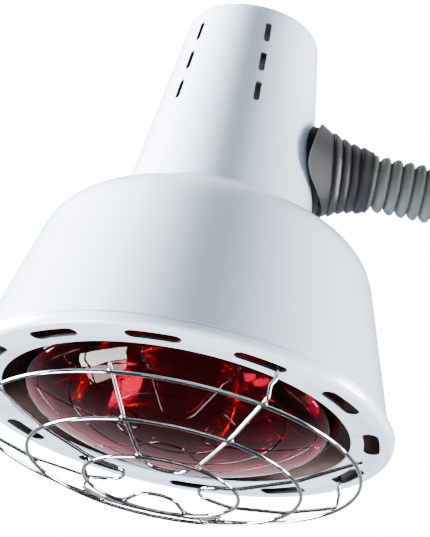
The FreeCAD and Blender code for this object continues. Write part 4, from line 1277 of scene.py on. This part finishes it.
@dataclass(frozen=True)
class BaseFitting:
    """Nickel-plated foot of the arm: threaded stud, hexagon and ferrule.

    Most fields say what they measure. Of the others, `hex_cone` is the radius of the cone that chamfers
    the hexagon's corners, where it meets a flat face, as a share of half the hexagon's width, and
    `hex_cone_slope` is how far that radius grows for each millimetre in from the face. A ferrule's groove
    is twice `groove_half` wide, and twice `groove_floor_half` at its floor.
    """

    stud_crest: float = 5.0
    stud_root: float = 4.42
    stud_pitch: float = 1.0
    stud_bottom: float = -8.0
    stud_top: float = 8.0
    stud_bore: float = 3.2
    hex_width: float = 27.0
    hex_height: float = 6.0
    hex_chamfer: float = 0.9
    hex_cone: float = 1.04
    hex_cone_slope: float = 2.2
    ferrule_floor: float = 20.0
    ferrule_top: float = 32.0
    ferrule_radius: float = 13.4
    ferrule_pocket: float = 11.4
    ferrule_bore: float = 5.35
    ferrule_round: float = 1.2
    grooves: tuple[float, ...] = (24.2, 27.8)
    groove_half: float = 0.55
    groove_floor_half: float = 0.22
    groove_depth: float = 0.35
    around: int = 96
    round_steps: int = 5

    def stud(self) -> bpy.types.Object:
        """The threaded stud, hollow for the leads.

        Returns:
            The piece.
        """
        thread = Thread(self.stud_crest, self.stud_root, self.stud_pitch, self.stud_bottom, self.stud_top)
        rings = thread.rings(Vector())
        for height in (self.stud_top, self.stud_bottom):
            rings.append(level_ring(Vector(), height, self.stud_bore * MM, thread.around))
        return closed_piece("base_stud_thread", rings, crease=35.0)

    def hex_reach(self, angle: float, limit: float) -> float:
        """Distance from the axis to the hexagon's side, or to the cone that chamfers its corners.

        Args:
            angle: Angle round the axis.
            limit: Radius of the cone.

        Returns:
            The smaller distance.
        """
        side = FULL_TURN / 6
        offset = (angle % side) - side / 2
        return min(self.hex_width / 2 / math.cos(offset), limit)

    def hexagon(self) -> bpy.types.Object:
        """The hexagon with its corners chamfered off by a cone.

        Returns:
            The piece.
        """
        foot, top, chamfer = self.stud_top, self.stud_top + self.hex_height, self.hex_chamfer
        rings = []
        for height, raised in ((foot, 0.0), (foot + chamfer, chamfer), (top - chamfer, chamfer), (top, 0.0)):
            limit = self.hex_width / 2 * self.hex_cone + raised * self.hex_cone_slope
            rings.append(level_ring(Vector(), height, lambda angle: self.hex_reach(angle, limit) * MM,
                                    self.around))
        for height in (top, foot):
            rings.append(level_ring(Vector(), height, self.stud_bore * MM, self.around))
        return closed_piece("base_hexagon", rings, crease=25.0)

    def ferrule(self) -> bpy.types.Object:
        """The ferrule that the sleeve seats in, with two turned grooves.

        Returns:
            The piece.
        """
        foot = self.stud_top + self.hex_height
        radius, half, floor_half = self.ferrule_radius, self.groove_half, self.groove_floor_half
        floor = radius - self.groove_depth
        outline = [(self.ferrule_bore, foot), (radius, foot)]
        for groove in self.grooves:
            outline += [(radius, groove - half), (floor, groove - floor_half),
                        (floor, groove + floor_half), (radius, groove + half)]
        for step in range(self.round_steps + 1):
            turn = math.pi / 2 * step / self.round_steps
            outline.append((radius - self.ferrule_round * (1 - math.cos(turn)),
                            self.ferrule_top - self.ferrule_round * (1 - math.sin(turn))))
        outline += [(self.ferrule_pocket, self.ferrule_top), (self.ferrule_pocket, self.ferrule_floor),
                    (self.ferrule_bore, self.ferrule_floor)]
        rings = [level_ring(Vector(), height, radius * MM, self.around) for radius, height in outline]
        return closed_piece("base_ferrule", rings, crease=35.0)

    def build(self, wardrobe: Wardrobe) -> None:
        """Make the fitting's three shapes.

        Args:
            wardrobe: Where the finish comes from.
        """
        for piece in (self.stud(), self.hexagon(), self.ferrule()):
            wardrobe.wear(piece, Slot.NICKEL)
            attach(piece, Body.BASE.value)
            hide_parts("base_fitting")
        log.info("base fitting with its thread")


@dataclass(frozen=True)
class BulbCap:
    """Screw cap with its rolled thread.

    The thread runs from `foot` to `top`. The shoulder rises to the crown, whose flat is `eye_rim` wide
    round the eye, the hole that the insulator fills.
    """

    place: LampPlace
    crest: float = 13.0
    root: float = 12.15
    pitch: float = 3.63
    foot: float = 100.5
    top: float = 127.0
    crown: float = 129.0
    shoulder: float = 0.6
    eye_rim: float = 1.0
    eye: float = 9.0
    wall: float = 0.6
    lead_in: float = 1.4
    around: int = 64
    per_pitch: int = 14

    def build(self, wardrobe: Wardrobe) -> None:
        """Make the cap.

        Args:
            wardrobe: Where the finish comes from.
        """
        thread = Thread(self.crest, self.root, self.pitch, self.foot, self.top, self.lead_in, self.around,
                        self.per_pitch)
        rings = thread.rings(self.place.origin)
        inside = self.root - self.wall
        for radius, height in ((self.root - self.shoulder, self.crown - self.shoulder),
                               (self.eye + self.eye_rim, self.crown), (self.eye, self.crown),
                               (self.eye, self.crown - self.wall), (inside, self.top - self.wall),
                               (inside, self.foot)):
            rings.append(level_ring(self.place.origin, height, radius * MM, self.around))
        piece = closed_piece("bulb_cap_thread", rings, crease=50.0)
        wardrobe.wear(piece, Slot.CAP)
        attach(piece, Body.BULB.value)
        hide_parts("bulb_cap")
        log.info("bulb cap with its thread")


@dataclass(frozen=True)
class GuardWelds:
    """Weld nuggets where the guard's legs cross its rings.

    Attributes:
        place: The lamp's frame.
        rings: Radius of each ring, and how far its middle lies under the rim.
        phase: Direction of the first pair of legs.
        spread: Angle from a pair's middle to either leg.
        wires: How many pairs there are.
        wire: Thickness of the wire.
        reach: Half a weld's width.
        height: Half its height.
        around: Points round each weld.
        bands: Rows over its height.
    """

    place: LampPlace
    rings: tuple[Span, ...] = ((28.7, 27.55), (50.7, 22.5), (71.2, 13.94))
    phase: float = -88.0
    spread: float = 22.0
    wires: int = 4
    wire: float = 1.4
    reach: float = 1.05
    height: float = 0.72
    around: int = 14
    bands: int = 8

    def nugget(self, skin: Skin, centre: Vector, outward: Vector) -> None:
        """Add one flattened bead.

        Args:
            skin: The mesh to add to.
            centre: Its middle in metres.
            outward: The leg's direction.
        """
        aside = UP.cross(outward)
        rings = []
        for band in range(1, self.bands):
            tilt = math.pi * band / self.bands - math.pi / 2
            middle = centre + UP * math.sin(tilt) * self.height * MM
            rings.append(ring_about(middle, outward, aside, math.cos(tilt) * self.reach * MM, self.around))
        skin.loft(rings)
        skin.cap(rings[0], reverse=True)
        skin.cap(rings[-1])

    def build(self, wardrobe: Wardrobe) -> None:
        """Make every weld as one piece.

        Args:
            wardrobe: Where the finish comes from.
        """
        skin = Skin()
        for radius, drop in self.rings:
            for wire in range(self.wires):
                for side in (1, -1):
                    angle = math.radians(self.phase + 360 / self.wires * wire + self.spread * side)
                    outward = Vector((math.cos(angle), math.sin(angle), 0))
                    centre = self.place.at(outward.x * radius, outward.y * radius, -drop + self.wire / 2)
                    self.nugget(skin, centre, outward)
        piece = skin.make("guard_welds", crease=50.0)
        wardrobe.wear(piece, Slot.CHROME)
        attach(piece, Body.GUARD.value)
        log.info("guard welds")


# ---------------------------------------------------------------------------
# Studio: places and sizes are metres
# ---------------------------------------------------------------------------


@dataclass(frozen=True)
class SoftBox:
    """One rectangular light.

    Attributes:
        name: The light's name.
        place: Where its middle is.
        aim: The point that it faces.
        size: Its width and height.
        power: Its power in watts.
        spread: The angle that its light spreads over, in degrees.
        mirrored: Whether shiny surfaces show it.
    """

    name: str
    place: Point
    aim: Point
    size: Span
    power: float
    spread: float = 120.0
    mirrored: bool = True

    def hang(self) -> None:
        """Make the light and turn it to its aim."""
        data = bpy.data.lights.new(self.name, "AREA")
        data.shape = "RECTANGLE"
        data.size, data.size_y = self.size
        data.energy = self.power
        data.spread = math.radians(self.spread)
        lamp = bpy.data.objects.new(self.name, data)
        lamp.location = self.place
        heading = Vector(self.aim) - Vector(self.place)
        lamp.rotation_euler = heading.to_track_quat("-Z", "Y").to_euler()
        lamp.visible_camera = False
        lamp.visible_glossy = self.mirrored
        lamp.visible_transmission = False
        bpy.context.scene.collection.objects.link(lamp)


@dataclass(frozen=True)
class Pane:
    """A glowing card seen only as a mirror image, or only through glass.

    Attributes:
        name: The card's name.
        corners: Its corners in order.
        tint: Its colour.
        strength: How brightly it glows.
        through_glass: Whether it is seen through glass and not as a mirror image.
        pale: The colour that its patches fade to.
        mottle: Patches per metre, roughly.
    """

    name: str
    corners: tuple[Point, Point, Point, Point]
    tint: Colour
    strength: float
    through_glass: bool = False
    pale: Colour = (1.0, 1.0, 1.0)
    mottle: float = 3.0

    def hang(self) -> None:
        """Make the card."""
        skin = Skin()
        skin.cap([Vector(corner) for corner in self.corners])
        card = skin.make(self.name)
        shader = Shader(self.name)
        colour = shader.mix(shader.noise(self.mottle), self.tint, self.pale)
        shader.set(Emission_Color=colour, Emission_Strength=self.strength)
        card.data.materials.append(shader.material)
        card.visible_camera = False
        card.visible_diffuse = False
        card.visible_shadow = False
        card.visible_glossy = not self.through_glass
        card.visible_transmission = self.through_glass


@dataclass(frozen=True)
class Window:
    """Two rows of panes whose mirror image shows in the bulb.

    Attributes:
        rails: Left and right end of each edge between rows, from the top down.
        columns: Shares of the width between which the panes lie.
        bar: Share of a row's height that the frame takes at its top and at its foot.
        tints: Colour of each row.
        strengths: How brightly each row glows.
    """

    rails: tuple[tuple[Point, Point], ...] = (
        ((-1.321, 0.174, -0.924), (-1.041, -0.684, -0.998)),
        ((-0.812, 0.789, -1.028), (-0.765, 0.060, -1.310)),
        ((-0.727, 0.939, -0.952), (-0.578, 0.589, -1.232)),
    )
    columns: tuple[Span, ...] = ((0.0, 0.10), (0.14, 1.0))
    bar: float = 0.05
    tints: tuple[Colour, Colour] = ((1.0, 0.88, 0.87), (1.0, 0.36, 0.44))
    strengths: Span = (46.0, 15.0)

    def spot(self, row: int, across: float, down: float) -> Point:
        """A point of one row of panes, at shares of its width and height."""
        upper, lower = (Vector(left).lerp(Vector(right), across) for left, right in self.rails[row:row + 2])
        return tuple(upper.lerp(lower, down))

    def panes(self) -> list[Pane]:
        """Every pane.

        Returns:
            The panes, row by row.
        """
        panes = []
        for row, (tint, strength) in enumerate(zip(self.tints, self.strengths)):
            for left, right in self.columns:
                spots = (self.spot(row, left, self.bar), self.spot(row, right, self.bar),
                         self.spot(row, right, 1 - self.bar), self.spot(row, left, 1 - self.bar))
                panes.append(Pane(f"studio_window_{len(panes)}", spots, tint, strength))
        return panes


def glow(name: str, *corners: Point) -> Pane:
    """A card that is seen only through the bulb's glass, where its blue tint makes the red crimson."""
    return Pane(name, corners, tint=(1.0, 0.6, 20.0), strength=1.7, through_glass=True)


@dataclass(frozen=True)
class Studio:
    """Camera, pale floor and soft light.

    Attributes:
        eye: The camera's place.
        ahead: Where it looks, as a unit vector.
        up: The top of its picture.
        right: The right of its picture.
        lens: Focal length in millimetres.
        clip: Distances between which it sees.
        floor_height: Height of the floor.
        floor_size: Length of its sides.
        floor_tints: The two colours that it varies between.
        floor_mottle: Patches per metre, roughly.
        floor_roughness: Its roughness.
        room: Colour of the sky.
        room_strength: Its strength away from the bright sheet.
        backdrop_strength: Its strength where the camera sees it.
        sheet_heading: Direction of the bright sheet's middle.
        sheet_reach: Cosines from that direction at which the sheet ends and is full.
        sheet_strength: Strength of the sheet.
        boxes: The lights.
        window: The window that the bulb mirrors.
        glows: Cards that the bulb's glass lets through.
    """

    eye: Point = (-0.189472, -0.772838, -0.207594)
    ahead: Point = (0.0, 0.91050, 0.41351)
    up: Point = (-0.20291, -0.40490, 0.89156)
    right: Point = (0.97920, -0.08390, 0.18475)
    lens: float = 150.21
    clip: Span = (0.01, 100.0)
    floor_height: float = -1.8
    floor_size: float = 24.0
    floor_tints: tuple[Colour, Colour] = ((0.82, 0.82, 0.83), (0.86, 0.86, 0.87))
    floor_mottle: float = 0.8
    floor_roughness: float = 0.85
    room: Colour = (0.94, 0.96, 1.0)
    room_strength: float = 0.10
    backdrop_strength: float = 16.0
    sheet_heading: Point = (0.0, 0.85, 0.527)
    sheet_reach: Span = (0.20, 0.85)
    sheet_strength: float = 0.85
    boxes: tuple[SoftBox, ...] = (
        SoftBox("key_left", (-2.0, 0.35, 0.40), (-0.19, 0.0, 0.15), (1.0, 1.8), 175.0, 60.0),
        SoftBox("fill_right", (1.6, 0.25, 0.30), (-0.15, 0.0, 0.15), (1.0, 1.6), 52.0, 60.0),
        SoftBox("under", (-0.5, -0.35, -1.6), (-0.19, 0.0, 0.10), (0.7, 0.5), 7.0, 50.0, False),
        SoftBox("front_strip", (0.35, -2.3, -0.06), (-0.19, 0.0, 0.10), (3.4, 0.16), 10.0, 120.0),
        SoftBox("floor_wash", (0.0, 0.0, -1.65), (0.0, 0.0, -1.8), (26.0, 26.0), 2200.0, 180.0),
    )
    window: Window = Window()
    glows: tuple[Pane, ...] = (
        glow("studio_glow_left", (1.02, -0.83, -0.26), (0.63, -1.20, -0.26), (0.59, -1.14, -0.48),
             (0.96, -0.79, -0.48)),
        glow("studio_glow_right", (-1.291, -0.725, -0.656), (-1.559, -0.172, -0.446),
             (-1.580, -0.250, -0.370), (-1.330, -0.780, -0.530)),
    )

    def camera(self) -> None:
        """Set the camera."""
        data = bpy.data.cameras.new("camera")
        data.lens = self.lens
        data.clip_start, data.clip_end = self.clip
        camera = bpy.data.objects.new("camera", data)
        columns = [Vector(self.right), Vector(self.up), -Vector(self.ahead)]
        camera.matrix_world = Matrix.Translation(self.eye) @ Matrix(columns).transposed().to_4x4()
        bpy.context.scene.collection.objects.link(camera)
        bpy.context.scene.camera = camera

    def floor(self) -> None:
        """Lay a pale floor far below the lamp."""
        half = self.floor_size / 2
        square = ((-half, -half), (half, -half), (half, half), (-half, half))
        skin = Skin()
        skin.cap([Vector((*corner, self.floor_height)) for corner in square])
        floor = skin.make("studio_floor")
        shader = Shader("studio_floor")
        colour = shader.mix(shader.noise(self.floor_mottle), *self.floor_tints)
        shader.set(Base_Color=colour, Roughness=self.floor_roughness)
        floor.data.materials.append(shader.material)
        floor.visible_glossy = False
        floor.visible_transmission = False

    def sky(self) -> None:
        """Light the room from a soft bright sheet, and show the camera a bright, even backdrop."""
        world = bpy.data.worlds.new("studio")
        bpy.context.scene.world = world
        world.use_nodes = True
        nodes = Nodes(world.node_tree)
        ray = nodes.add("ShaderNodeTexCoord").outputs["Generated"]
        facing = nodes.vector("DOT_PRODUCT", ray, self.sheet_heading, result="Value")
        sheet = nodes.rescale(facing, self.sheet_reach, (self.room_strength, self.sheet_strength))
        room = nodes.tree.nodes["Background"]
        backdrop = nodes.add("ShaderNodeBackground")
        for node, strength in ((room, sheet), (backdrop, self.backdrop_strength)):
            nodes.feed(node.inputs["Color"], self.room)
            nodes.feed(node.inputs["Strength"], strength)
        choice = nodes.add("ShaderNodeMixShader")
        camera_ray = nodes.add("ShaderNodeLightPath").outputs["Is Camera Ray"]
        for target, source in zip(choice.inputs, (camera_ray, room.outputs[0], backdrop.outputs[0])):
            nodes.link(source, target)
        nodes.link(choice.outputs[0], nodes.tree.nodes["World Output"].inputs["Surface"])

    def build(self) -> None:
        """Set everything up."""
        self.camera()
        self.sky()
        self.floor()
        for thing in (*self.boxes, *self.window.panes(), *self.glows):
            thing.hang()
        log.info("studio with %d lights", len(self.boxes))


def corners(pair: tuple[Vector, Vector]) -> list[list[float]]:
    """Lowest and highest corner as plain lists."""
    return [list(point) for point in pair]


def main() -> None:
    """Load the frame, build every piece and set the studio."""
    logging.basicConfig(level=logging.INFO, format="%(message)s")
    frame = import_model()
    place = LampPlace.from_frame()
    wardrobe = Wardrobe(place.origin)
    wardrobe.dress_nodes(frame)
    for part in (Sleeve(ArmLine()), Boot(place), BaseFitting(), BulbCap(place), GuardWelds(place)):
        part.build(wardrobe)
    Studio().build()


if __name__ == "__main__":
    main()
